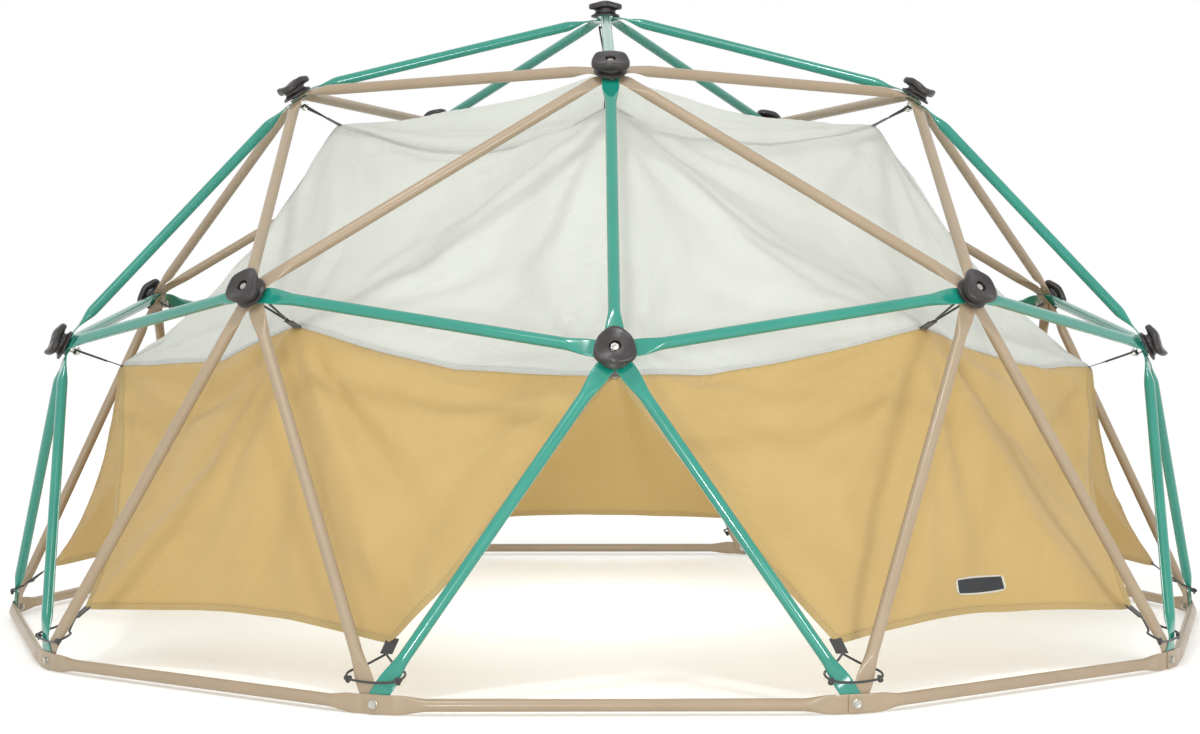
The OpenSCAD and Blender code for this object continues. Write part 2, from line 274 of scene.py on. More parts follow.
def seats_object(name: str, seats: Sequence[Matrix]) -> bpy.types.Object:
    """Makes a helper with one vertex, and its turn as a quaternion, for each place.

    Args:
        name: the helper's name.
        seats: places and turns.
    Returns:
        The new object.
    """
    mesh = bpy.data.meshes.new(name)
    mesh.from_pydata([tuple(s.translation) for s in seats], [], [])
    layer = mesh.attributes.new("turn", "QUATERNION", "POINT")
    layer.data.foreach_set("value", np.array([tuple(s.to_quaternion()) for s in seats], float).ravel())
    return link(bpy.data.objects.new(name, mesh))


def seat(x_axis: Vec, y_axis: Vec, z_axis: Vec, origin: Vec) -> Matrix:
    """A placing matrix from three axes and an origin."""
    columns = [list(x_axis) + [0], list(y_axis) + [0], list(z_axis) + [0], list(origin) + [1]]
    return Matrix(columns).transposed()


def ring_faces(rings: int, sides: int, closed: bool = True) -> list[tuple[int, ...]]:
    """Quads between consecutive rings that turn anticlockwise about the way they advance.

    Args:
        rings: how many rings of vertices there are.
        sides: vertices in each ring.
        closed: whether both ends get a flat face.
    Returns:
        Faces that point outwards.
    """
    faces: list[tuple[int, ...]] = []
    for i in range(rings - 1):
        for j in range(sides):
            a, b = i * sides + j, i * sides + (j + 1) % sides
            faces.append((a, b, b + sides, a + sides))
    if closed:
        faces.append(tuple(range(sides - 1, -1, -1)))
        faces.append(tuple((rings - 1) * sides + j for j in range(sides)))
    return faces


def turned(profile: Sequence[tuple[float, float]], segments: int,
           shape: Callable[[float, float, float], tuple[float, float]] | None = None) -> MeshData:
    """Turns a closed outline about Z.

    Args:
        profile: radius and height of each point, anticlockwise in the radius-height plane.
        segments: steps round the axis.
        shape: changes a radius and height at an angle in radians, for lobes and waves.
    Returns:
        Vertices and outward faces.
    """
    count = len(profile)
    verts = []
    for s in range(segments):
        angle = 2 * math.pi * s / segments
        for r, z in profile:
            r2, z2 = shape(r, z, angle) if shape else (r, z)
            verts.append((r2 * math.cos(angle), r2 * math.sin(angle), z2))
    faces = []
    for s in range(segments):
        for j in range(count):
            a, b = s * count + j, s * count + (j + 1) % count
            c, d = ((s + 1) % segments) * count + j, ((s + 1) % segments) * count + (j + 1) % count
            faces.append((a, c, d, b))
    return np.array(verts), faces


def joined(*parts: MeshData) -> MeshData:
    """Several meshes as one.

    Args:
        parts: vertices and faces of each.
    Returns:
        All vertices, and faces that count on through them.
    """
    verts, faces, first = [], [], 0
    for v, f in parts:
        verts.append(np.asarray(v, float))
        faces += [tuple(i + first for i in face) for face in f]
        first += len(v)
    return np.vstack(verts), faces


# ---- finishes ----


def wave_scale(period_mm: float) -> float:
    """Scale at which a Wave Texture repeats once in so many millimetres."""
    return math.pi / 10 / mm(period_mm)


@dataclass(frozen=True)
class Finish:
    """One real finish: its colour, gloss and how its pattern is drawn."""

    name: str
    slot: str
    color: str
    roughness: float
    ior: float = 1.5
    metallic: float = 0.0

    def start(self) -> tuple[bpy.types.Material, bpy.types.NodeTree, bpy.types.Node, bpy.types.Node]:
        """Starts a material in this finish's colour and gloss.

        Returns:
            The material, its node tree, its Principled shader and its Texture Coordinate node.
        """
        material = bpy.data.materials.new(self.name)
        material.use_nodes = True
        material.diffuse_color = linear(self.color)
        tree = material.node_tree
        tree.nodes.clear()
        shader = add_node(tree, "ShaderNodeBsdfPrincipled", inputs={
            "Base Color": linear(self.color), "Roughness": self.roughness,
            "Metallic": self.metallic, "IOR": self.ior})
        place = add_node(tree, "ShaderNodeTexCoord")
        return material, tree, shader, place

    def finish(self, tree: bpy.types.NodeTree, shader: bpy.types.NodeSocket) -> None:
        """Connects the shader to the output."""
        add_node(tree, "ShaderNodeOutputMaterial", inputs={"Surface": shader})

    def tinted(self, tree: bpy.types.NodeTree, factor: bpy.types.NodeSocket, low: str,
               high: str) -> bpy.types.NodeSocket:
        """Colour that runs between two with a factor.

        Args:
            tree: the material's node tree.
            factor: socket that runs from 0 to 1.
            low: hex colour at 0.
            high: hex colour at 1.
        Returns:
            The mixed colour.
        """
        mix = add_node(tree, "ShaderNodeMix", {"data_type": "RGBA"}, {
            "Factor": factor, 6: linear(low), 7: linear(high)})
        return mix.outputs[2]


@dataclass(frozen=True)
class PowderCoat(Finish):
    """Baked polyester powder on steel tube: an even film with a faint orange peel."""

    dark: str = "#000000"
    light: str = "#ffffff"
    peel_mm: float = 2.5
    coat: float = 0.0

    def build(self) -> bpy.types.Material:
        """The material; its peel is drawn 2.5 mm wide, about twice the real size, so that it shows."""
        material, tree, shader, place = self.start()
        where = place.outputs["Object"]
        cloud = add_node(tree, "ShaderNodeTexNoise", inputs={
            "Vector": where, "Scale": 1 / mm(160), "Detail": 3.0, "Roughness": 0.55})
        peel = add_node(tree, "ShaderNodeTexNoise", inputs={
            "Vector": where, "Scale": 1 / mm(self.peel_mm), "Detail": 2.0, "Roughness": 0.4})
        gloss = add_node(tree, "ShaderNodeMapRange", inputs={
            "Value": cloud.outputs["Fac"], "From Min": 0.3, "From Max": 0.7,
            "To Min": self.roughness * 0.85, "To Max": self.roughness * 1.2})
        bump = add_node(tree, "ShaderNodeBump", inputs={
            "Strength": 0.18, "Distance": mm(0.12), "Height": peel.outputs["Fac"]})
        colour = self.tinted(tree, cloud.outputs["Fac"], self.dark, self.light)
        tree.links.new(colour, shader.inputs["Base Color"])
        tree.links.new(gloss.outputs["Result"], shader.inputs["Roughness"])
        tree.links.new(bump.outputs["Normal"], shader.inputs["Normal"])
        shader.inputs["Coat Weight"].default_value = self.coat
        shader.inputs["Coat Roughness"].default_value = 0.07
        self.finish(tree, shader.outputs["BSDF"])
        return material


@dataclass(frozen=True)
class MouldedPlastic(Finish):
    """Injection-moulded polymer with a fine spark-eroded grain and handling sheen."""

    grain_mm: float = 0.9
    bump: float = 0.25

    def build(self) -> bpy.types.Material:
        """The material; the grain is drawn 0.9 mm wide, three times the real size, so that it shows."""
        material, tree, shader, place = self.start()
        where = place.outputs["Object"]
        grain = add_node(tree, "ShaderNodeTexVoronoi", inputs={
            "Vector": where, "Scale": 1 / mm(self.grain_mm)})
        flow = add_node(tree, "ShaderNodeTexNoise", inputs={
            "Vector": where, "Scale": 1 / mm(30), "Detail": 4.0, "Roughness": 0.6})
        gloss = add_node(tree, "ShaderNodeMapRange", inputs={
            "Value": flow.outputs["Fac"], "From Min": 0.3, "From Max": 0.7,
            "To Min": self.roughness * 0.8, "To Max": self.roughness * 1.25})
        bump = add_node(tree, "ShaderNodeBump", inputs={
            "Strength": self.bump, "Distance": mm(0.15), "Height": grain.outputs["Distance"]})
        handled = add_node(tree, "ShaderNodeMix", {"data_type": "RGBA", "blend_type": "MULTIPLY"}, {
            "Factor": 0.25, 6: linear(self.color), 7: flow.outputs["Color"]})
        tree.links.new(handled.outputs[2], shader.inputs["Base Color"])
        tree.links.new(gloss.outputs["Result"], shader.inputs["Roughness"])
        tree.links.new(bump.outputs["Normal"], shader.inputs["Normal"])
        self.finish(tree, shader.outputs["BSDF"])
        return material


@dataclass(frozen=True)
class ZincPlate(Finish):
    """Bright zinc on steel: metal with a faint spangle and rolled streaks."""

    def build(self) -> bpy.types.Material:
        """The material; its spangle is drawn 3 mm wide."""
        material, tree, shader, place = self.start()
        where = place.outputs["Object"]
        spangle = add_node(tree, "ShaderNodeTexVoronoi", inputs={"Vector": where, "Scale": 1 / mm(3)})
        haze = add_node(tree, "ShaderNodeTexNoise", inputs={
            "Vector": where, "Scale": 1 / mm(6), "Detail": 5.0, "Roughness": 0.65})
        gloss = add_node(tree, "ShaderNodeMapRange", inputs={
            "Value": haze.outputs["Fac"], "From Min": 0.25, "From Max": 0.75,
            "To Min": self.roughness * 0.7, "To Max": self.roughness * 1.4})
        bump = add_node(tree, "ShaderNodeBump", inputs={
            "Strength": 0.15, "Distance": mm(0.1), "Height": haze.outputs["Fac"]})
        colour = self.tinted(tree, spangle.outputs["Distance"], "#a9abab", "#ccc8ba")
        tree.links.new(colour, shader.inputs["Base Color"])
        tree.links.new(gloss.outputs["Result"], shader.inputs["Roughness"])
        tree.links.new(bump.outputs["Normal"], shader.inputs["Normal"])
        self.finish(tree, shader.outputs["BSDF"])
        return material


@dataclass(frozen=True)
class WovenCloth(Finish):
    """Coated plain-weave polyester: thin, slightly translucent, with soft fold lines from its packing."""

    dark: str = "#000000"
    light: str = "#ffffff"
    shine_through: float = 0.3
    glow: str = "#ffffff"
    thread_mm: float = 1.6

    def build(self) -> bpy.types.Material:
        """The material; threads are drawn 1.6 mm apart, four times the real spacing, so that they show."""
        material, tree, shader, place = self.start()
        flat = place.outputs["UV"]
        weave = [
            add_node(tree, "ShaderNodeTexWave", {"wave_type": "BANDS", "bands_direction": way}, {
                "Vector": flat, "Scale": wave_scale(self.thread_mm), "Distortion": 0.4})
            for way in ("X", "Y")
        ]
        cross = add_node(tree, "ShaderNodeMath", {"operation": "MULTIPLY"}, {
            0: weave[0].outputs["Fac"], 1: weave[1].outputs["Fac"]})
        mottle = add_node(tree, "ShaderNodeTexNoise", inputs={
            "Vector": place.outputs["Object"], "Scale": 1 / mm(260), "Detail": 6.0, "Roughness": 0.6})
        stretched = add_node(tree, "ShaderNodeMapping", inputs={
            "Vector": flat, "Scale": (3.0, 14.0, 1.0), "Rotation": (0.0, 0.0, 0.5)})
        crease = add_node(tree, "ShaderNodeTexNoise", inputs={
            "Vector": stretched.outputs["Vector"], "Scale": 1.0, "Detail": 5.0, "Roughness": 0.62})
        folds = add_node(tree, "ShaderNodeBump", inputs={
            "Strength": 0.6, "Distance": mm(8), "Height": crease.outputs["Fac"]})
        threads = add_node(tree, "ShaderNodeBump", inputs={
            "Strength": 0.25, "Distance": mm(0.15), "Height": cross.outputs["Value"],
            "Normal": folds.outputs["Normal"]})
        colour = self.tinted(tree, mottle.outputs["Fac"], self.dark, self.light)
        tree.links.new(colour, shader.inputs["Base Color"])
        tree.links.new(threads.outputs["Normal"], shader.inputs["Normal"])
        shader.inputs["Sheen Weight"].default_value = 0.25
        shader.inputs["Sheen Roughness"].default_value = 0.5
        through = add_node(tree, "ShaderNodeBsdfTranslucent", inputs={
            "Color": linear(self.glow), "Normal": threads.outputs["Normal"]})
        both = add_node(tree, "ShaderNodeMixShader", inputs={
            0: self.shine_through, 1: shader.outputs["BSDF"], 2: through.outputs["BSDF"]})
        self.finish(tree, both.outputs["Shader"])
        return material


@dataclass(frozen=True)
class Webbing(Finish):
    """Woven polypropylene tape: ribs across it, dull, with pale dust in the weave."""

    rib_mm: float = 2.0

    def build(self) -> bpy.types.Material:
        """The material; its ribs follow the tape's own UV map."""
        material, tree, shader, place = self.start()
        flat = place.outputs["UV"]
        ribs = add_node(tree, "ShaderNodeTexWave", {"wave_type": "BANDS", "bands_direction": "Y"}, {
            "Vector": flat, "Scale": wave_scale(self.rib_mm), "Distortion": 1.5, "Detail": 2.0})
        dust = add_node(tree, "ShaderNodeTexNoise", inputs={
            "Vector": place.outputs["Object"], "Scale": 1 / mm(5), "Detail": 4.0})
        bump = add_node(tree, "ShaderNodeBump", inputs={
            "Strength": 0.6, "Distance": mm(0.4), "Height": ribs.outputs["Fac"]})
        colour = self.tinted(tree, dust.outputs["Fac"], self.color, "#34342f")
        tree.links.new(colour, shader.inputs["Base Color"])
        tree.links.new(bump.outputs["Normal"], shader.inputs["Normal"])
        shader.inputs["Sheen Weight"].default_value = 0.3
        self.finish(tree, shader.outputs["BSDF"])
        return material


TEAL_GLOSS = PowderCoat("teal_gloss_powder_coat", "teal_tube", "#168270", 0.2, dark="#107564",
                        light="#1a8a77", coat=0.6)
TAN_SATIN = PowderCoat("tan_satin_powder_coat", "tan_tube", "#9a8870", 0.34, dark="#928068",
                       light="#a08e76", coat=0.1)
CAP_PLASTIC = MouldedPlastic("cap_polypropylene_moulded", "cap_plastic", "#2f2b2a", 0.36)
HOOK_PLASTIC = MouldedPlastic("hook_acetal_moulded", "hook_plastic", "#232323", 0.38, grain_mm=0.6)
ZINC = ZincPlate("zinc_plated_steel", "zinc", "#d4d4cf", 0.3, metallic=1.0)
ROOF_CLOTH = WovenCloth("roof_coated_polyester", "roof_cloth", "#d8dad6", 0.62, dark="#cfd1cb",
                        light="#dcded9", shine_through=0.42, glow="#e0e2de")
WALL_CLOTH = WovenCloth("wall_coated_polyester", "wall_cloth", "#cdb67c", 0.6, dark="#c4ac70",
                        light="#d3be88", shine_through=0.42, glow="#dcc07e")
THREAD_PALE = MouldedPlastic("roof_bonded_thread", "roof_cloth", "#c9cabf", 0.55, grain_mm=0.4)
THREAD_TAN = MouldedPlastic("wall_bonded_thread", "wall_cloth", "#b18c45", 0.55, grain_mm=0.4)
TAPE = Webbing("black_polypropylene_webbing", "webbing", "#1d1d1e", 0.75)
ELASTIC = Webbing("black_braided_elastic", "elastic", "#19191a", 0.6, rib_mm=1.6)
PATCH_FACE = MouldedPlastic("patch_face_vinyl", "patch_vinyl", "#23262b", 0.45, grain_mm=0.8)
PATCH_RIM = MouldedPlastic("patch_rim_vinyl", "patch_vinyl", "#c6c2b4", 0.5, grain_mm=0.8)


class Shelf:
    """Builds each material once."""

    def __init__(self) -> None:
        """Starts empty."""
        self.made: dict[str, bpy.types.Material] = {}

    def get(self, finish: Finish) -> bpy.types.Material:
        """The material of a finish."""
        if finish.name not in self.made:
            self.made[finish.name] = finish.build()
        return self.made[finish.name]


# ---- layout of the dome ----


@dataclass(frozen=True)
class Joint:
    """A bolted joint: its direction from the dome's centre, azimuth and stacked tubes."""

    direction: Vec
    azimuth: float
    tubes: int

    @property
    def east(self) -> Vec:
        """Horizontal direction across the joint."""
        a = math.radians(self.azimuth)
        return np.array([math.cos(a), math.sin(a), 0.0])


@dataclass(frozen=True)
class Tube:
    """A tube between two joints and the level that each end takes in its stack."""

    start: Vec
    end: Vec
    start_level: int
    end_level: int


@dataclass(frozen=True)
class Dome:
    """A 2-frequency icosahedral hemisphere and the sizes of its tubes and stacks."""

    radius: float
    flat_width: float
    flat_t: float = mm(2.4)
    film: float = mm(0.1)
    bend_clear: float = mm(1)
    half_edge: float = math.degrees(math.atan(2)) / 2

    @classmethod
    def from_frame(cls) -> "Dome":
        """Reads the radius and the flats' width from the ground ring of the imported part.

        Returns:
            The dome.
        """
        boxes = [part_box(f"ground_ring_struts_{k + 1}") for k in SECTORS]
        width = max(high.z for _, high in boxes) - min(low.z for low, _ in boxes)
        return cls(radius=max(high.x for _, high in boxes), flat_width=width)

    @property
    def tube_d(self) -> float:
        """Outside diameter of the tubes: a flat is half their circumference wide."""
        return 2 * self.flat_width / math.pi

    @property
    def pitch(self) -> float:
        """Step from one stacked flat to the next."""
        return self.flat_t + self.film

    @property
    def centre(self) -> Vec:
        """Centre of the dome, level with the ground ring's bolts."""
        return np.array([0.0, 0.0, self.flat_width / 2])

    def crown(self, k: int) -> Vec:
        """Direction of a joint on the crown ring."""
        return on_sphere(self.half_edge, 72 * k)

    def pent(self, k: int) -> Vec:
        """Direction of a five-way middle joint."""
        return on_sphere(2 * self.half_edge, 72 * k)

    def hexa(self, k: int) -> Vec:
        """Direction of a six-way middle joint."""
        return on_sphere(90 - self.half_edge, 72 * (k + 0.5))

    def base(self, j: int) -> Vec:
        """Direction of a ground joint."""
        return on_sphere(90, 36 * j + 18)

    def stack(self, tubes: int) -> float:
        """Depth of a stack of flats with its paint."""
        return tubes * self.pitch + self.film

    def capped(self) -> list[Joint]:
        """The joints above the ground ring.

        Returns:
            The apex, then the crown ring, the five-way and the six-way middle joints.
        """
        joints = [Joint(UP, 0.0, 5)]
        joints += [Joint(self.crown(k), 72.0 * k, 6) for k in SECTORS]
        joints += [Joint(self.pent(k), 72.0 * k, 5) for k in SECTORS]
        joints += [Joint(self.hexa(k), 72.0 * (k + 0.5), 6) for k in SECTORS]
        return joints

    def grounded(self) -> list[Joint]:
        """The ten ground joints."""
        return [Joint(self.base(j), 36.0 * j + 18, 4) for j in range(10)]

    def face(self, joint: Joint, depth: float = 0.0) -> Matrix:
        """Seat on a joint's painted outer face or under it: X east, Y up the dome, Z out.

        Args:
            joint: the joint.
            depth: how far under the outer face.
        Returns:
            The placing matrix.
        """
        out = joint.direction
        origin = self.centre + (self.radius + self.film - depth) * out
        return seat(joint.east, np.cross(out, joint.east), out, origin)

    def tubes(self) -> dict[str, tuple[Finish, list[Tube]]]:
        """The finish and the tubes of each strut node.

        Returns:
            Node name to finish and tubes.
        """
        rows: dict[str, tuple[Finish, list[Tube]]] = {}
        for k in SECTORS:
            crown, pent, hexa = self.crown(k), self.pent(k), self.hexa(k)
            behind, base = self.hexa(k - 1), [self.base(2 * k + i) for i in (-1, 0, 1)]
            n = k + 1
            rows[f"crown_strut_{n}"] = TEAL_GLOSS, [Tube(UP, crown, k, 0)]
            rows[f"crown_ring_strut_{n}"] = TAN_SATIN, [Tube(crown, self.crown(k + 1), 1, 2)]
            rows[f"upper_short_strut_{n}"] = TEAL_GLOSS, [Tube(crown, pent, 3, 0)]
            rows[f"upper_long_struts_{n}"] = TAN_SATIN, [Tube(crown, hexa, 4, 0), Tube(crown, behind, 5, 1)]
            rows[f"middle_short_struts_{n}"] = TEAL_GLOSS, [Tube(pent, hexa, 1, 2), Tube(pent, behind, 2, 3)]
            rows[f"lower_short_struts_{n}"] = TEAL_GLOSS, [
                Tube(pent, base[1], 3, 2), Tube(pent, base[0], 4, 2)]
            rows[f"lower_long_struts_{n}"] = TAN_SATIN, [
                Tube(hexa, base[1], 4, 3), Tube(hexa, base[2], 5, 3)]
            rows[f"ground_ring_struts_{n}"] = TAN_SATIN, [
                Tube(base[0], base[1], 0, 1), Tube(base[1], base[2], 0, 1)]
        return rows


# ---- tubes ----


@dataclass
class CrimpedTubes:
    """Steel tubes whose ends are pressed flat, bent towards the joint and cut nearly square."""

    dome: Dome
    shelf: Shelf
    crimp_len: float = mm(70)
    tip: float = mm(17)
    tip_round: float = mm(6)
    riser_round: float = mm(13)
    bend_half: float = mm(7)
    sides: int = 28
    tip_steps: int = 4
    bend_steps: int = 4
    crimp_steps: int = 14
    flat_zone: float = 0.3

    def outline(self, half_t: float, trim: float) -> Vec:
        """Cross-section of a tube pressed to a half thickness, its perimeter kept.

        Args:
            half_t: half the thickness; the tube's radius where it is round.
            trim: how much less wide each side is, for the rounded corners of the cut end.
        Returns:
            Points as (across, outwards), anticlockwise about the tube's direction.
        """
        radius = self.dome.tube_d / 2
        half_w = half_t + math.pi / 2 * (radius - half_t) - trim
        angle = np.arange(self.sides) * 2 * math.pi / self.sides
        flat = np.clip(np.cos(angle) / self.flat_zone, -1, 1)
        return np.stack([(half_w - half_t) * flat + half_t * np.cos(angle), half_t * np.sin(angle)], axis=1)

    def end(self, here: Vec, there: Vec, level: int) -> tuple[Vec, Vec]:
        """Middle of the flat on its bolt, and the direction in which the flat leaves it."""
        middle = (self.dome.radius - level * self.dome.pitch - self.dome.flat_t / 2) * here
        return middle, unit(there - (there @ here) * here)

    def stations(self, here: Vec, there: Vec, level: int, bend: Vec, axis: Vec) -> list[Station]:
        """Rings of one end, from the cut tip to the round tube.

        Args:
            here: direction of this end's joint.
            there: direction of the other end's joint.
            level: place of the flat in its stack.
            bend: corner at which the flat turns into the tube's own line.
            axis: direction of the tube, away from this end.
        Returns:
            A centre, direction, half thickness and corner trim for each ring.
        """
        middle, tangent = self.end(here, there, level)
        thin, radius = self.dome.flat_t / 2, self.dome.tube_d / 2
        is_riser_foot = tangent[2] > 0.5 and here[2] < 0.1
        corner = self.riser_round if is_riser_foot else self.tip_round
        rows = []
        for step in range(self.tip_steps + 1):
            s = corner * (1 - math.cos(step / self.tip_steps * math.pi / 2))
            trim = corner - math.sqrt(max(corner ** 2 - (corner - s) ** 2, 0))
            rows.append((middle + (s - self.tip) * tangent, tangent, thin, trim))
        rows.append((middle, tangent, thin, 0.0))
        a, b = bend - self.bend_half * tangent, bend + self.bend_half * axis
        for step in range(self.bend_steps + 1):
            u = step / self.bend_steps
            point = (1 - u) ** 2 * a + 2 * u * (1 - u) * bend + u * u * b
            rows.append((point, unit((1 - u) * tangent + u * axis), thin, 0.0))
        for step in range(1, self.crimp_steps + 1):
            u = step / self.crimp_steps
            s = self.bend_half + u * (self.crimp_len - self.bend_half)
            rows.append((bend + s * axis, axis, thin + (radius - thin) * float(smooth(u)), 0.0))
        return rows

    def loft(self, tube: Tube) -> MeshData:
        """Whole tube as one closed shell.

        Args:
            tube: its two joints and levels.
        Returns:
            Vertices and faces.
        """
        reach = self.dome.flat_width + self.dome.bend_clear
        near, away = self.end(tube.start, tube.end, tube.start_level)
        far, back = self.end(tube.end, tube.start, tube.end_level)
        bends = near + reach * away, far + reach * back
        axis = unit(bends[1] - bends[0])
        rings = self.stations(tube.start, tube.end, tube.start_level, bends[0], axis)
        others = self.stations(tube.end, tube.start, tube.end_level, bends[1], -axis)
        rings += [(p, -d, h, t) for p, d, h, t in reversed(others)]
        width = unit(np.cross(tube.start, tube.end))
        verts = []
        for point, direction, half_t, trim in rings:
            up = np.cross(direction, width)
            across = self.outline(half_t, trim)
            verts.append(self.dome.centre + point + across[:, :1] * width + across[:, 1:] * up)
        return np.vstack(verts), ring_faces(len(rings), self.sides)

    def build(self) -> list[bpy.types.Object]:
        """Makes one piece for each strut node.

        Returns:
            The pieces.
        """
        pieces = []
        for node, (finish, tubes) in self.dome.tubes().items():
            shells = joined(*[self.loft(tube) for tube in tubes])
            piece = mesh_object(f"{node}_tube", shells, self.shelf.get(finish))
            sharpen(piece, TUBE_CREASE)
            register(piece, finish, node)
            pieces.append(piece)
        return pieces


def sharpen(piece: bpy.types.Object, degrees: float) -> None:
    """Marks edges sharper than an angle, so that smooth shading stops there."""
    piece.data.set_sharp_from_angle(angle=math.radians(degrees))


def register(piece: bpy.types.Object, finish: Finish, *nodes: str) -> None:
    """Puts a piece on the frame and the nodes that it stands for, and logs it.

    Args:
        piece: a finished piece.
        finish: its finish; not used.
        nodes: CAD nodes that it stands for.
    """
    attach(piece, ROOT)
    if nodes:
        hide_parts(*nodes)
    stands_for = ", ".join(nodes) or "nothing"
    log.info("%s: %d faces, stands for %s", piece.name, len(piece.data.polygons), stands_for)


# ---- joint hardware ----


class Scatter:
    """Geometry Nodes tree that puts a template on each seat, lifted along the seat's own Z."""

    def __init__(self) -> None:
        """Builds the tree."""
        self.tree = Tree("seat_on_joints", {
            "Template": "NodeSocketObject", "Lift": "NodeSocketFloat", "Finish": "NodeSocketMaterial"})
        tree, given = self.tree, self.tree.inputs
        turn = tree.add("GeometryNodeInputNamedAttribute", {"data_type": "QUATERNION"}, {"Name": "turn"})
        shape = tree.add("GeometryNodeObjectInfo", inputs={"Object": given["Template"]})
        placed = tree.add("GeometryNodeInstanceOnPoints", inputs={
            "Points": given["Geometry"], "Instance": shape.outputs["Geometry"],
            "Rotation": turn.outputs["Attribute"]})
        shift = tree.add("ShaderNodeCombineXYZ", inputs={"Z": given["Lift"]})
        lifted = tree.add("GeometryNodeTranslateInstances", inputs={
            "Instances": placed.outputs["Instances"], "Translation": shift.outputs["Vector"],
            "Local Space": True})
        tree.close(lifted.outputs["Instances"])

    def place(self, name: str, template: MeshData | bpy.types.Object, seats: Sequence[Matrix], lift: float,
              material: bpy.types.Material) -> bpy.types.Object:
        """Repeats a template on seats.

        Args:
            name: name of the piece.
            template: mesh in the seat's own frame, or an object that holds it.
            seats: places and turns.
            lift: distance along each seat's Z.
            material: finish of every copy.
        Returns:
            One plain mesh object.
        """
        is_object = isinstance(template, bpy.types.Object)
        holder = template if is_object else mesh_object(f"{name}_form", template)
        sharpen(holder, HARDWARE_CREASE)
        values = {"Template": holder, "Lift": lift, "Finish": material}
        piece = self.tree.apply(name, seats_object(f"{name}_seats", seats), values)
        bpy.data.objects.remove(holder)
        return piece


def merged(name: str, parts: Sequence[bpy.types.Object]) -> bpy.types.Object:
    """Joins objects at the origin.

    Args:
        name: name of the joined piece.
        parts: what is joined; the first becomes the piece.
    Returns:
        The joined piece.
    """
    with bpy.context.temp_override(active_object=parts[0], selected_editable_objects=list(parts)):
        bpy.ops.object.join()
    parts[0].name = name
    parts[0].data.name = name
    return parts[0]


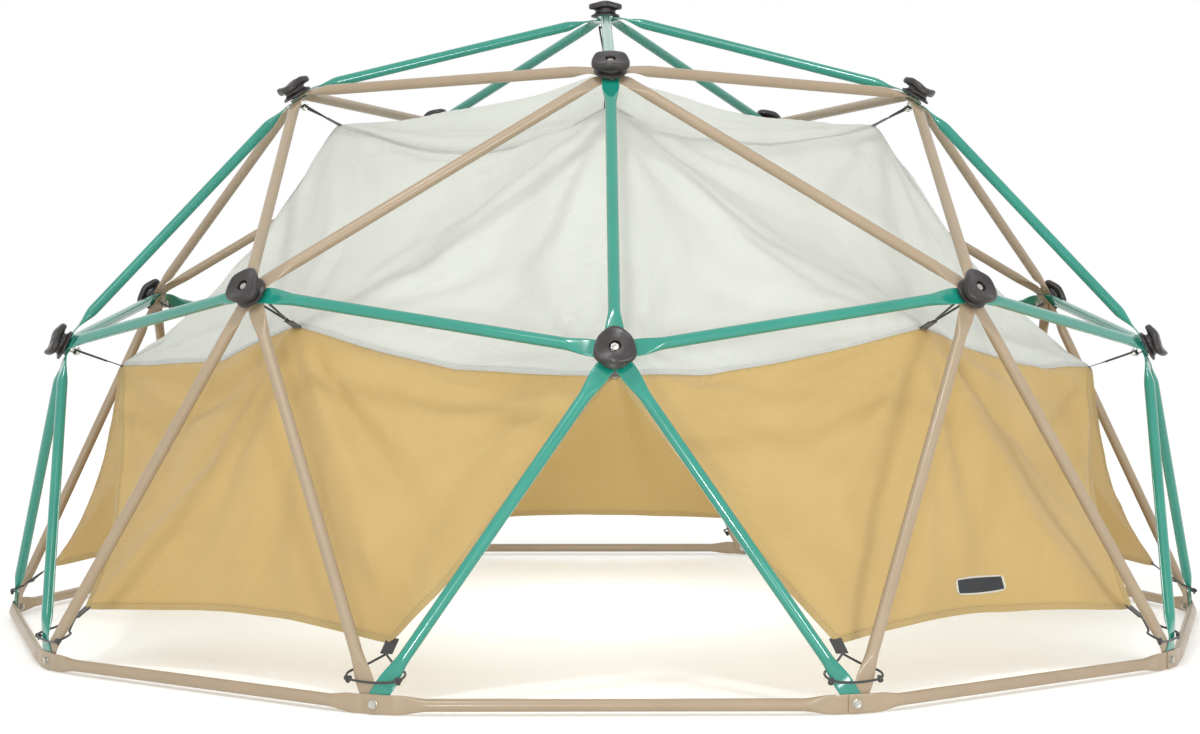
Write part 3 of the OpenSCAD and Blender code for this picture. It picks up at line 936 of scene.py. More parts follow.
@dataclass
class JointHardware:
    """Caps, bolts, washers and nuts of the frame."""

    dome: Dome
    shelf: Shelf
    scatter: Scatter
    cap_h: float = mm(38)
    lobe_mean: float = mm(41.8)
    lobe_rise: float = mm(3.6)
    rim_wave: float = mm(3.2)
    recess_h: float = mm(15)
    recess_r: float = mm(12)
    bore_r: float = mm(5.15)
    bolt_r: float = mm(4.75)
    hex_af: float = mm(14.3)
    head_h: float = mm(6.4)
    nut_h: float = mm(8)
    washer_r: float = mm(9.5)
    washer_t: float = mm(1.6)
    cord_slot: float = mm(6)
    keeper_r: float = mm(12)
    keeper_t: float = mm(2)
    keeper_nut_h: float = mm(6)
    bolt_tail: float = mm(2)
    cap_segments: int = 66
    hex_segments: int = 36
    ring_segments: int = 32
    rod_segments: int = 20
    lobes: int = 3
    lobe_sharpness: float = 0.22
    wave_level: float = 0.35

    def cap(self) -> MeshData:
        """Three-lobed knob: foot, waist, and a plate whose rim waves down at its lobes.

        Returns:
            Vertices and faces, with the foot on z = 0.
        """
        foot = [(34.5, 0), (36.4, 0.6), (37, 2.2), (36.6, 4.6), (35, 6.2)]
        waist = [(30.5, 8), (27, 10.5), (26, 13.5), (26.6, 16.6), (28.6, 19.2)]
        rim = [(-10, 20.6), (-4.5, 21.4), (-1.2, 23.4), (0, 27.4), (-0.2, 32.6), (-1.5, 35.2), (-4, 36.7),
               (-7.5, 36.8), (-13, 35.7)]
        dish = [(20, 34.6), (15.5, 34.2), (13.2, 33.9)]
        floor, wall = self.cap_h - self.recess_h, self.recess_r
        profile = [(self.bore_r, 0.0), *[(mm(r), mm(z)) for r, z in foot + waist],
                   *[(self.lobe_mean + mm(r), mm(z)) for r, z in rim], *[(mm(r), mm(z)) for r, z in dish],
                   (wall + mm(0.2), mm(33.2)), (wall, mm(32)), (wall, floor + mm(1)), (wall - mm(0.8), floor),
                   (self.bore_r, floor)]
        inner, neck = mm(15), mm(18)

        def lobed(radius: float, height: float, angle: float) -> tuple[float, float]:
            """Pushes the plate out, and its rim down, towards each lobe."""
            if height < neck or radius < inner:
                return radius, height
            share = float(smooth((radius - inner) / (self.lobe_mean - inner)))
            turn = self.lobes * (angle - math.pi / 2)
            wave = math.cos(turn)
            peak = wave + self.lobe_sharpness * math.cos(2 * turn)
            drop = self.rim_wave * (wave + self.wave_level)
            return radius + share * self.lobe_rise * peak, height - share * drop

        return turned(profile, self.cap_segments, lobed)

    def hexagon(self, low: float, high: float, bore: float | None, crown: float = 0.12) -> MeshData:
        """Hexagonal prism with corners turned off at both ends, solid or bored.

        Args:
            low: lower end.
            high: upper end.
            bore: radius of the hole, or None for a head that is closed and slightly domed.
            crown: share of the height that the turned corners take.
        Returns:
            Vertices and faces.
        """
        half = self.hex_af / 2
        corner = half / math.cos(math.pi / 6)
        eased, full = corner * 0.93, corner * 1.01
        cut = (high - low) * crown

        def flats(radius: float, height: float, angle: float) -> tuple[float, float]:
            """Cuts a round outline back to six flats."""
            wedge = (angle + math.pi / 6) % (math.pi / 3) - math.pi / 6
            return min(radius, half / math.cos(wedge)), height

        outer = [(eased, low), (full, low + cut), (full, high - cut), (eased, high)]
        if bore is None:
            dome = [(corner * 0.62, high + mm(0.25)), (corner * 0.5, high - mm(0.2)), (POLE, high - mm(0.25))]
            return turned([(POLE, low), *outer, *dome], self.hex_segments, flats)
        mouth = [(bore * 1.12, high), (bore, high - mm(0.5))]
        return turned([(bore, low), *outer, *mouth], self.hex_segments, flats)

    def ring(self, low: float, high: float, radius: float, bore: float) -> MeshData:
        """Flat ring with broken edges.

        Args:
            low: lower face.
            high: upper face.
            radius: outer radius.
            bore: radius of the hole.
        Returns:
            Vertices and faces.
        """
        edge = mm(0.35)
        return turned([(bore, low), (radius - edge, low), (radius, low + edge), (radius, high - edge),
                       (radius - edge, high), (bore, high)], self.ring_segments)

    def bolt(self, shank: float) -> MeshData:
        """Flanged hexagon bolt, its flange on z = 0 and its shank below.

        Args:
            shank: length under the flange.
        Returns:
            Vertices and faces.
        """
        brim, root = self.washer_r, self.hex_af * 0.56
        flange = turned([(POLE, 0.0), (brim - mm(0.3), 0.0), (brim, mm(0.4)), (brim - mm(0.4), mm(1.1)),
                         (root, self.washer_t), (POLE, self.washer_t)], self.ring_segments)
        head = self.hexagon(self.washer_t * 0.9, self.head_h, None)
        point = mm(0.7)
        rod = turned([(POLE, -shank), (self.bolt_r - point, -shank), (self.bolt_r, -shank + point),
                      (self.bolt_r, 0.0), (POLE, 0.0)], self.rod_segments)
        return joined(flange, head, rod)

    def build(self) -> list[bpy.types.Object]:
        """Makes all hardware pieces.

        Returns:
            The pieces.
        """
        zinc, capped, grounded = self.shelf.get(ZINC), self.dome.capped(), self.dome.grounded()
        tops = [self.dome.face(j) for j in capped]
        caps = self.scatter.place("moulded_caps", self.cap(), tops, 0.0, self.shelf.get(CAP_PLASTIC))
        pieces = [(caps, CAP_PLASTIC, "hub_caps")]
        head_z = self.cap_h - self.recess_h
        keeper_top = self.washer_t + self.nut_h + self.cord_slot
        bolt_end = keeper_top + self.keeper_t + self.keeper_nut_h + self.bolt_tail
        bolts = []
        for tubes in (5, 6):
            seats = [self.dome.face(j) for j in capped if j.tubes == tubes]
            shape = self.bolt(head_z + self.dome.stack(tubes) + bolt_end)
            bolts.append(self.scatter.place(f"cap_bolts_{tubes}", shape, seats, head_z, zinc))
        pieces.append((merged("cap_bolts", bolts), ZINC, "hub_bolts"))
        under = [self.dome.face(j, self.dome.stack(j.tubes)) for j in capped]
        washer = self.ring(0.0, self.washer_t, self.washer_r, self.bore_r)
        nut = self.hexagon(0.0, self.nut_h, self.bolt_r)
        flange = self.ring(self.keeper_nut_h, self.keeper_nut_h + self.keeper_t, self.keeper_r, self.bolt_r)
        keeper = joined(self.hexagon(0.0, self.keeper_nut_h, self.bolt_r), flange)
        keeper_lift = -keeper_top - self.keeper_t - self.keeper_nut_h
        washer_lift, nut_lift = -self.washer_t, -self.washer_t - self.nut_h
        pieces += [
            (self.scatter.place("joint_washers", washer, under, washer_lift, zinc), ZINC, "hub_washers"),
            (self.scatter.place("joint_nuts", nut, under, nut_lift, zinc), ZINC, "hub_nuts"),
            (self.scatter.place("keeper_nuts", keeper, under, keeper_lift, zinc), ZINC, "hub_keeper_nuts"),
        ]
        outside = [self.dome.face(j) for j in grounded]
        inside = [self.dome.face(j, self.dome.stack(j.tubes)) for j in grounded]
        shank = self.dome.stack(4) + self.washer_t + self.nut_h + self.bolt_tail
        pieces += [
            (self.scatter.place("ring_bolts", self.bolt(shank), outside, 0.0, zinc), ZINC, "ground_bolts"),
            (self.scatter.place("ring_washers", washer, inside, washer_lift, zinc), ZINC, "ground_washers"),
            (self.scatter.place("ring_nuts", nut, inside, nut_lift, zinc), ZINC, "ground_nuts"),
        ]
        for piece, finish, node in pieces:
            register(piece, finish, node)
        return [piece for piece, _, _ in pieces]


# ---- paths, tapes and stitches ----


def tube_mesh(path: Vec, radii: Sequence[float], sides: int = 10) -> MeshData:
    """Round rod along an open path, closed at both ends.

    Args:
        path: points of the centre line.
        radii: radius at each point.
        sides: vertices round it.
    Returns:
        Vertices and faces.
    """
    path = np.asarray(path, float)
    heading = np.gradient(path, axis=0)
    is_steep = abs(unit(heading[0])[2]) >= 0.9
    side = unit(np.cross(heading[0], EAST if is_steep else UP))
    verts = []
    for point, way, radius in zip(path, heading, radii):
        way = unit(way)
        side = unit(side - (side @ way) * way)
        up = np.cross(way, side)
        angle = np.arange(sides) * 2 * math.pi / sides
        verts.append(point + radius * (np.cos(angle)[:, None] * side + np.sin(angle)[:, None] * up))
    return np.vstack(verts), ring_faces(len(path), sides)


def curved(points: Sequence[Vec], steps: int) -> Vec:
    """Smooth curve through points.

    Args:
        points: what it passes through.
        steps: steps between each two points.
    Returns:
        Points of the curve, both ends included.
    """
    p = np.array(points, float)
    p = np.vstack([2 * p[0] - p[1], p, 2 * p[-1] - p[-2]])
    rows = []
    for i in range(1, len(p) - 2):
        for u in np.arange(steps) / steps:
            rows.append(0.5 * (2 * p[i] + (p[i + 1] - p[i - 1]) * u
                               + (2 * p[i - 1] - 5 * p[i] + 4 * p[i + 1] - p[i + 2]) * u ** 2
                               + (3 * p[i] - p[i - 1] - 3 * p[i + 1] + p[i + 2]) * u ** 3))
    rows.append(p[-2])
    return np.array(rows)


def paint_uv(piece: bpy.types.Object, uv: Vec) -> None:
    """Gives a mesh a UV map.

    Args:
        piece: the mesh object.
        uv: one pair of metres for each vertex.
    """
    mesh = piece.data
    corner = np.zeros(len(mesh.loops), int)
    mesh.loops.foreach_get("vertex_index", corner)
    layer = mesh.uv_layers.new(name="UVMap")
    layer.data.foreach_set("uv", np.asarray(uv, float)[corner].ravel())


class Stitcher:
    """Geometry Nodes tree that lays thread stitches along lines on cloth."""

    def __init__(self) -> None:
        """Builds the tree."""
        self.tree = Tree("lockstitch", {
            "Stitch": "NodeSocketObject", "Pitch": "NodeSocketFloat", "Finish": "NodeSocketMaterial"})
        tree, given = self.tree, self.tree.inputs
        line = tree.add("GeometryNodeMeshToCurve", inputs={"Mesh": given["Geometry"]})
        spaced = tree.add("GeometryNodeResampleCurve", {"mode": "LENGTH"}, {
            "Curve": line.outputs["Curve"], "Length": given["Pitch"]})
        facing = tree.add("GeometryNodeInputNamedAttribute", {"data_type": "FLOAT_VECTOR"}, {
            "Name": "facing"})
        tangent = tree.add("GeometryNodeInputTangent")
        turn = tree.add("FunctionNodeAxesToRotation", {"primary_axis": "Z", "secondary_axis": "X"}, {
            "Primary Axis": facing.outputs["Attribute"], "Secondary Axis": tangent.outputs["Tangent"]})
        shape = tree.add("GeometryNodeObjectInfo", inputs={"Object": given["Stitch"]})
        laid = tree.add("GeometryNodeInstanceOnPoints", inputs={
            "Points": spaced.outputs["Curve"], "Instance": shape.outputs["Geometry"],
            "Rotation": turn.outputs["Rotation"]})
        tree.close(laid.outputs["Instances"])

    def sew(self, name: str, rows: Sequence[tuple[Vec, Vec]], pitch: float, length: float,
            material: bpy.types.Material) -> bpy.types.Object:
        """Lays stitches along rows.

        Args:
            name: name of the piece.
            rows: points of each row and the cloth's normals there.
            pitch: distance from one stitch to the next.
            length: length of a stitch.
            material: the thread's finish.
        Returns:
            One plain mesh object.
        """
        end, knee, across, high = length / 2, length / 4, mm(0.45), mm(0.4)
        verts = np.array([[-end, 0, 0], [-knee, -across, 0], [-knee, 0, high], [-knee, across, 0],
                          [knee, -across, 0], [knee, 0, high], [knee, across, 0], [end, 0, 0]])
        faces = [(0, 1, 2), (0, 2, 3), (0, 3, 1), (1, 4, 5, 2), (2, 5, 6, 3), (3, 6, 4, 1),
                 (7, 5, 4), (7, 6, 5), (7, 4, 6)]
        stitch = mesh_object(f"{name}_form", (verts, faces))
        lines = path_object(f"{name}_lines", [points for points, _ in rows], [normals for _, normals in rows])
        piece = self.tree.apply(name, lines, {"Stitch": stitch, "Pitch": pitch, "Finish": material})
        bpy.data.objects.remove(stitch)
        return piece


# ---- tent ----


class Corner(Enum):
    """Rings of joints that a tent corner hangs from."""

    PEAK = "peak"
    CROWN = "crown"
    HEXA = "hexa"
    PENT = "pent"
    BASE = "base"


Key = tuple[Corner, int]
Spots = dict[tuple[int, int], int]
Flat = dict[int, tuple[float, float]]
ROOF = 0

# Edges where two cuts of cloth meet; the other shared edges are only folds
SEWN = {
    frozenset((Corner.CROWN,)),
    frozenset((Corner.CROWN, Corner.PENT)),
    frozenset((Corner.PENT, Corner.HEXA)),
}

# Sag at the middle of each kind of seam or edge, in millimetres: straight down, and in towards the centre
SAGS: dict[frozenset[Corner], tuple[float, float]] = {
    frozenset((Corner.PEAK, Corner.CROWN)): (22, 0),
    frozenset((Corner.CROWN,)): (52, 14),
    frozenset((Corner.CROWN, Corner.PENT)): (6, 32),
    frozenset((Corner.CROWN, Corner.HEXA)): (6, 30),
    frozenset((Corner.PENT, Corner.HEXA)): (14, 10),
    frozenset((Corner.HEXA, Corner.BASE)): (0, 10),
    frozenset((Corner.PENT, Corner.BASE)): (0, 8),
    frozenset((Corner.BASE,)): (0, 22),
}

# Waves of the folds round a tied corner: how many to a turn, share of the depth, share of the phase
FOLD_WAVES = ((9, 1.0, 1.0), (16, 0.8, 2.3), (25, 0.6, 3.1))

# Coated cloth in the simulation: stiff along its threads, limp across them, and quick to come to rest
CLOTH_FEEL = {
    "quality": 8,
    "mass": 0.02,
    "air_damping": 2.0,
    "tension_stiffness": 25,
    "compression_stiffness": 12,
    "shear_stiffness": 8,
    "bending_stiffness": 0.08,
    "tension_damping": 12,
    "compression_damping": 12,
}


@dataclass
class Tent:
    """Sewn play tent: a pale roof and five tan walls of three panels each, slack between 26 ties."""

    dome: Dome
    shelf: Shelf
    steps: int = 26
    peak_drop: float = mm(139)
    crown_inset: float = mm(104)
    crown_lift: float = 1.9
    hex_inset: float = mm(152)
    hex_lift: float = 0.5
    pent_inset: float = mm(134)
    pent_lift: float = 0.6
    hem_inset: float = mm(89)
    hem_height: float = mm(104)
    hem_bow: float = mm(34)
    door_bow: float = mm(14)
    cloth_t: float = mm(0.7)
    slack: float = 0.006
    fold_depth: float = mm(10)
    fold_reach: float = mm(480)
    fold_start: float = mm(160)
    fold_phase: float = 1.7
    ripple: float = mm(1.2)
    weld: float = mm(0.1)
    frames: int = 34
    tape_w: float = mm(15)
    hem_w: float = mm(17)
    tape_t: float = mm(0.5)
    stitch_pitch: float = mm(9)
    stitch_len: float = mm(6.5)
    patch_size: tuple[float, float] = (mm(150), mm(40))
    patch_along: float = mm(485)
    patch_up: float = mm(96)
    patch_t: float = mm(0.8)
    patch_corner: float = mm(9)
    patch_barrel: float = 0.16
    patch_edge: float = 0.35
    patch_cells: tuple[int, int] = (24, 10)
    verts: list[Vec] = field(default_factory=list)
    faces: list[tuple[int, ...]] = field(default_factory=list)
    uvs: list[tuple[float, float]] = field(default_factory=list)
    parts: list[int] = field(default_factory=list)
    edges: dict[frozenset[Key], list[tuple[int, list[int]]]] = field(default_factory=dict)
    fans: list[tuple[Vec, Vec, Vec, float]] = field(default_factory=list)
    surface: BVHTree | None = None

    def corner(self, kind: Corner, k: int) -> Vec:
        """Place of a tent corner.

        Args:
            kind: ring of joints that it hangs from.
            k: which joint of that ring.
        Returns:
            Its place.
        """
        size, half_edge = self.dome.radius, self.dome.half_edge
        if kind is Corner.PEAK:
            place = (size - self.peak_drop) * UP
        elif kind is Corner.CROWN:
            place = (size - self.crown_inset) * on_sphere(half_edge - self.crown_lift, 72 * k)
        elif kind is Corner.HEXA:
            place = (size - self.hex_inset) * on_sphere(90 - half_edge - self.hex_lift, 72 * (k + 0.5))
        elif kind is Corner.PENT:
            place = (size - self.pent_inset) * on_sphere(2 * half_edge - self.pent_lift, 72 * k)
        else:
            place = (size - self.hem_inset) * self.dome.base(k) + self.hem_height * UP
        return self.dome.centre + place

    def panels(self) -> list[tuple[tuple[Key, Key, Key], int]]:
        """The panels of the tent.

        Returns:
            Corners of each, anticlockwise from outside, and its part: the roof, or a wall from 1.
        """
        rows: list[tuple[tuple[Key, Key, Key], int]] = []
        for k in SECTORS:
            after, behind = (k + 1) % 5, (k - 1) % 5
            crown, pent, hexa = (Corner.CROWN, k), (Corner.PENT, k), (Corner.HEXA, k)
            left, right = (Corner.BASE, 2 * k), (Corner.BASE, 2 * k + 1)
            rows += [
                (((Corner.PEAK, 0), crown, (Corner.CROWN, after)), ROOF),
                ((crown, hexa, (Corner.CROWN, after)), ROOF),
                ((crown, pent, hexa), ROOF),
                ((crown, (Corner.HEXA, behind), pent), ROOF),
                ((hexa, left, right), k + 1),
                ((hexa, pent, left), k + 1),
                ((hexa, right, (Corner.PENT, after)), k + 1),
            ]
        return rows

    def sag(self, keys: tuple[Key, Key, Key], share: Vec) -> Vec:
        """How far a point hangs in from the flat, from the sag of its panel's three edges.

        Args:
            keys: the panel's corners.
            share: weight of each corner at the point.
        Returns:
            The move.
        """
        moved = np.zeros(3)
        for i, j in ((0, 1), (1, 2), (2, 0)):
            down, inward = SAGS[frozenset((keys[i][0], keys[j][0]))]
            middle = unit(self.corner(*keys[i]) + self.corner(*keys[j]) - 2 * self.dome.centre)
            moved -= 4 * share[i] * share[j] * (mm(down) * UP + mm(inward) * middle)
        return moved

    def folds(self, point: Vec) -> Vec:
        """Pulled folds that fan out from the tied corners.

        Args:
            point: place in the cloth.
        Returns:
            The move, out of the cloth's face.
        """
        moved = np.zeros(3)
        for place, out, east, phase in self.fans:
            reach = point - place
            far = float(np.linalg.norm(reach))
            if far > self.fold_reach * 2.2 or far < mm(1):
                continue
            angle = math.atan2(float(reach @ np.cross(out, east)), float(reach @ east))
            wave = sum(share * math.sin(count * angle + shift * phase) for count, share, shift in FOLD_WAVES)
            depth = self.fold_depth * float(smooth(far / self.fold_start))
            depth *= math.exp(-(far / self.fold_reach) ** 2)
            moved += depth * wave * out
        return moved

    def bow(self, keys: tuple[Key, Key, Key], share: Vec) -> float:
        """How far a point of a wall panel is cut back towards the wall's top corner.

        Args:
            keys: the panel's corners, the wall's top first.
            share: weight of each corner at the point.
        Returns:
            The distance; none in the roof.
        """
        if keys[0][0] is not Corner.HEXA or share[0] > 0.999:
            return 0.0
        depth = self.hem_bow if keys[1][0] is keys[2][0] is Corner.BASE else self.door_bow
        along = share[2] / (share[1] + share[2])
        return depth * 4 * along * (1 - along) * (1 - share[0]) ** 2

    def fan_out(self) -> None:
        """Notes the corners that folds fan out from, each with its axes and its own phase."""
        kinds = [(kind, k) for kind in (Corner.CROWN, Corner.PENT, Corner.HEXA) for k in SECTORS]
        for number, key in enumerate(kinds):
            place = self.corner(*key)
            out = unit(place - self.dome.centre)
            self.fans.append((place, out, unit(np.cross(UP, out)), self.fold_phase * number))

    def mark_out(self, keys: tuple[Key, Key, Key], seen: dict[tuple[int, ...], int]) -> tuple[Spots, Flat]:
        """Points of one panel, shared with the panels marked out before it.

        Args:
            keys: the panel's corners.
            seen: rounded place to vertex, for all vertices so far; new ones are added.
        Returns:
            The vertex at each step of the panel, and each vertex's place on the flat cut.
        """
        n = self.steps
        a, b, c = (self.corner(*key) for key in keys)
        along = unit(b - a)
        across = np.cross(unit(np.cross(b - a, c - a)), along)
        spots: Spots = {}
        flat: Flat = {}
        for i in range(n + 1):
            for j in range(n + 1 - i):
                share = np.array([1 - (i + j) / n, i / n, j / n])
                point = share[0] * a + share[1] * b + share[2] * c + self.sag(keys, share)
                point = point + self.bow(keys, share) * (unit(a - point) if i + j else 0.0)
                point = point + self.folds(point)
                mark = tuple(np.round(point / self.weld).astype(int))
                if mark not in seen:
                    seen[mark] = len(self.verts)
                    self.verts.append(point)
                spots[i, j] = seen[mark]
                flat[seen[mark]] = (float((point - a) @ along), float((point - a) @ across))
        return spots, flat

    def cut(self) -> None:
        """Cuts every panel into small triangles that share their vertices along the seams."""
        n = self.steps
        self.fan_out()
        seen: dict[tuple[int, ...], int] = {}
        for keys, part in self.panels():
            spots, flat = self.mark_out(keys, seen)
            for i in range(n):
                for j in range(n - i):
                    cells = [((i, j), (i + 1, j), (i, j + 1))]
                    if i + j < n - 1:
                        cells.append(((i + 1, j), (i + 1, j + 1), (i, j + 1)))
                    for cell in cells:
                        face = tuple(spots[spot] for spot in cell)
                        self.faces.append(face)
                        self.uvs += [flat[v] for v in face]
                        self.parts.append(part)
            sides = [[spots[s, 0] for s in range(n + 1)], [spots[n - s, s] for s in range(n + 1)],
                     [spots[0, n - s] for s in range(n + 1)]]
            for side, line in enumerate(sides):
                ends = frozenset((keys[side], keys[(side + 1) % 3]))
                self.edges.setdefault(ends, []).append((part, line))

    def whole(self) -> bpy.types.Object:
        """The cut tent as one mesh.

        Returns:
            The mesh with its UV map and part numbers.
        """
        cloth = mesh_object("tent_cloth", (np.array(self.verts), self.faces))
        uv = cloth.data.uv_layers.new(name="UVMap")
        uv.data.foreach_set("uv", np.array(self.uvs, float).ravel())
        layer = cloth.data.attributes.new("part", "INT", "FACE")
        layer.data.foreach_set("value", self.parts)
        return cloth

    def hang(self, cloth: bpy.types.Object) -> None:
        """Lets the slack cloth hang from its corners and keeps the shape that it settles in.

        Args:
            cloth: the cut tent; its mesh is replaced by the settled one.
        """
        ends = {v for lines in self.edges.values() for _, line in lines for v in (line[0], line[-1])}
        fixed = sorted(ends)
        held = cloth.vertex_groups.new(name="ties")
        held.add(fixed, 1.0, "REPLACE")
        rest = np.array(self.verts)
        x, y, z = rest.T
        wave = np.sin(x * 31 + z * 23) + np.sin(y * 27 - z * 37)
        rippled = rest - self.ripple * wave[:, None] * (rest / np.linalg.norm(rest, axis=1)[:, None])
        rippled[fixed] = rest[fixed]
        cloth.data.vertices.foreach_set("co", rippled.ravel())
        drape = cloth.modifiers.new("drape", "CLOTH")
        drape.settings.vertex_group_mass = held.name
        for name, value in CLOTH_FEEL.items():
            setattr(drape.settings, name, value)
        drape.settings.shrink_min = -self.slack
        drape.collision_settings.use_collision = False
        drape.collision_settings.use_self_collision = False
        scene = bpy.context.scene
        drape.point_cache.frame_start, drape.point_cache.frame_end = 1, self.frames
        for step in range(1, self.frames + 1):
            scene.frame_set(step)
        evaluated = cloth.evaluated_get(bpy.context.evaluated_depsgraph_get())
        settled = bpy.data.meshes.new_from_object(evaluated)
        cloth.modifiers.remove(drape)
        cloth.vertex_groups.clear()
        cloth.data = settled
        scene.frame_set(1)

    def fine(self, cloth: bpy.types.Object) -> bpy.types.Mesh:
        """Subdivides the settled cloth once and keeps its surface for what is sewn on.

        Args:
            cloth: the settled tent.
        Returns:
            The finer mesh.
        """
        soften = cloth.modifiers.new("soften", "SUBSURF")
        soften.levels = soften.render_levels = 1
        soften.boundary_smooth = "PRESERVE_CORNERS"
        depsgraph = bpy.context.evaluated_depsgraph_get()
        mesh = bpy.data.meshes.new_from_object(cloth.evaluated_get(depsgraph))
        cloth.modifiers.remove(soften)
        verts = np.zeros(len(mesh.vertices) * 3)
        mesh.vertices.foreach_get("co", verts)
        polygons = [tuple(p.vertices) for p in mesh.polygons]
        self.surface = BVHTree.FromPolygons(verts.reshape(-1, 3).tolist(), polygons)
        return mesh

    def sheet(self, name: str, mesh: bpy.types.Mesh, part: int, finish: Finish,
              nodes: Sequence[str]) -> bpy.types.Object:
        """Takes one part out of the fine mesh and gives it its thickness.

        Args:
            name: name of the piece.
            mesh: the whole tent.
            part: the roof, or a wall from 1.
            finish: the cloth.
            nodes: CAD nodes that the sheet stands for.
        Returns:
            The sheet.
        """
        marks = np.zeros(len(mesh.polygons), int)
        mesh.attributes["part"].data.foreach_get("value", marks)
        coords = np.zeros(len(mesh.vertices) * 3)
        mesh.vertices.foreach_get("co", coords)
        pairs = np.zeros(len(mesh.loops) * 2)
        mesh.uv_layers[0].data.foreach_get("uv", pairs)
        pairs = pairs.reshape(-1, 2)
        chosen = [mesh.polygons[i] for i in np.flatnonzero(marks == part)]
        used = sorted({v for p in chosen for v in p.vertices})
        new = {old: i for i, old in enumerate(used)}
        faces = [tuple(new[v] for v in p.vertices) for p in chosen]
        piece = mesh_object(name, (coords.reshape(-1, 3)[used], faces), self.shelf.get(finish))
        layer = piece.data.uv_layers.new(name="UVMap")
        flat = np.concatenate([pairs[p.loop_start:p.loop_start + p.loop_total] for p in chosen])
        layer.data.foreach_set("uv", flat.ravel())
        thick = piece.modifiers.new("thickness", "SOLIDIFY")
        thick.thickness = self.cloth_t
        thick.offset = -1
        thick.use_even_offset = False
        register(piece, finish, *nodes)
        return piece

    def on_cloth(self, point: Vec, lift: float) -> tuple[Vec, Vec]:
        """Nearest point of the cloth's outer face, lifted off it, and the normal there."""
        place, normal, _, _ = self.surface.find_nearest(Vector(point))
        return np.array(place) + lift * np.array(normal), np.array(normal)

    def row(self, line: Vec, across: float, lift: float) -> tuple[Vec, Vec]:
        """A line moved sideways on the cloth.

        Args:
            line: points of the line.
            across: how far to its left, seen from outside.
            lift: how far off the cloth.
        Returns:
            Points and normals.
        """
        heading = np.gradient(line, axis=0)
        points, normals = [], []
        for point, way in zip(line, heading):
            _, out = self.on_cloth(point, 0.0)
            left = unit(np.cross(out, way))
            place, normal = self.on_cloth(point + across * left, lift)
            points.append(place)
            normals.append(normal)
        return np.array(points), np.array(normals)

    def tape(self, line: Vec, right: float, left: float, low: float, high: float) -> MeshData:
        """Flat band on the cloth along a line, closed all round.

        Args:
            line: points of the line.
            right: its right edge, as a distance to the line's left.
            left: its left edge.
            low: its lower face, as a height over the cloth.
            high: its upper face.
        Returns:
            Vertices and faces.
        """
        middle = (right + left) / 2
        spots = [(left, low), (left, high), (middle, high), (right, high), (right, low), (middle, low)]
        rings = np.stack([self.row(line, x, z)[0] for x, z in spots], axis=1)
        return rings.reshape(-1, 3), ring_faces(len(line), len(spots))

    def sew(self, stitcher: Stitcher, settled: Vec) -> dict[bool, list[bpy.types.Object]]:
        """Seam tapes, folded hems and their stitches.

        Args:
            stitcher: lays the threads.
            settled: vertices of the hung cloth, before it was subdivided.
        Returns:
            The roof's pieces under True and the walls' under False.
        """
        thick, half = self.tape_t, self.tape_w / 2
        bands: dict[bool, list[MeshData]] = {True: [], False: []}
        rows: dict[bool, list[tuple[Vec, Vec]]] = {True: [], False: []}
        for ends, uses in self.edges.items():
            if len(uses) == 2 and frozenset(kind for kind, _ in ends) not in SEWN:
                continue
            _, index = min(uses, key=lambda use: use[0])
            line = curved(settled[index], 2)
            is_roof = any(p == ROOF for p, _ in uses)
            is_eave = is_roof and any(p != ROOF for p, _ in uses)
            if is_eave:
                band = self.tape(line, 0.0, self.tape_w, -thick, thick)
                offsets = [self.tape_w * 0.25, self.tape_w * 0.75]
            elif len(uses) == 2:
                band = self.tape(line, -half, half, -thick, thick)
                offsets = [-half * 0.6, half * 0.6]
            else:
                band = self.tape(line, 0.0, self.hem_w, -self.cloth_t - thick, thick)
                offsets = [self.hem_w * 0.8]
            bands[is_roof].append(band)
            rows[is_roof] += [self.row(line, x, thick) for x in offsets]
        pieces: dict[bool, list[bpy.types.Object]] = {}
        for is_roof, finish, thread in ((True, ROOF_CLOTH, THREAD_PALE), (False, WALL_CLOTH, THREAD_TAN)):
            name = "roof" if is_roof else "wall"
            seams = mesh_object(f"{name}_seams", joined(*bands[is_roof]), self.shelf.get(finish))
            verts = np.array([v.co for v in seams.data.vertices])
            paint_uv(seams, verts[:, [0, 2]])
            sharpen(seams, CLOTH_CREASE)
            register(seams, finish)
            threads = stitcher.sew(f"{name}_stitches", rows[is_roof], self.stitch_pitch, self.stitch_len,
                                   self.shelf.get(thread))
            register(threads, thread)
            pieces[is_roof] = [seams, threads]
        return pieces

    def below(self, point: Vec, out: Vec, lift: float) -> Vec:
        """Point of the cloth straight under a point, lifted off it along the same line.

        Args:
            point: where to look.
            out: direction away from the cloth.
            lift: how far off the cloth.
        Returns:
            The place.
        """
        from_above = point + mm(300) * out
        place, _, _, _ = self.surface.ray_cast(Vector(from_above), Vector(-out))
        return (point if place is None else np.array(place)) + lift * out

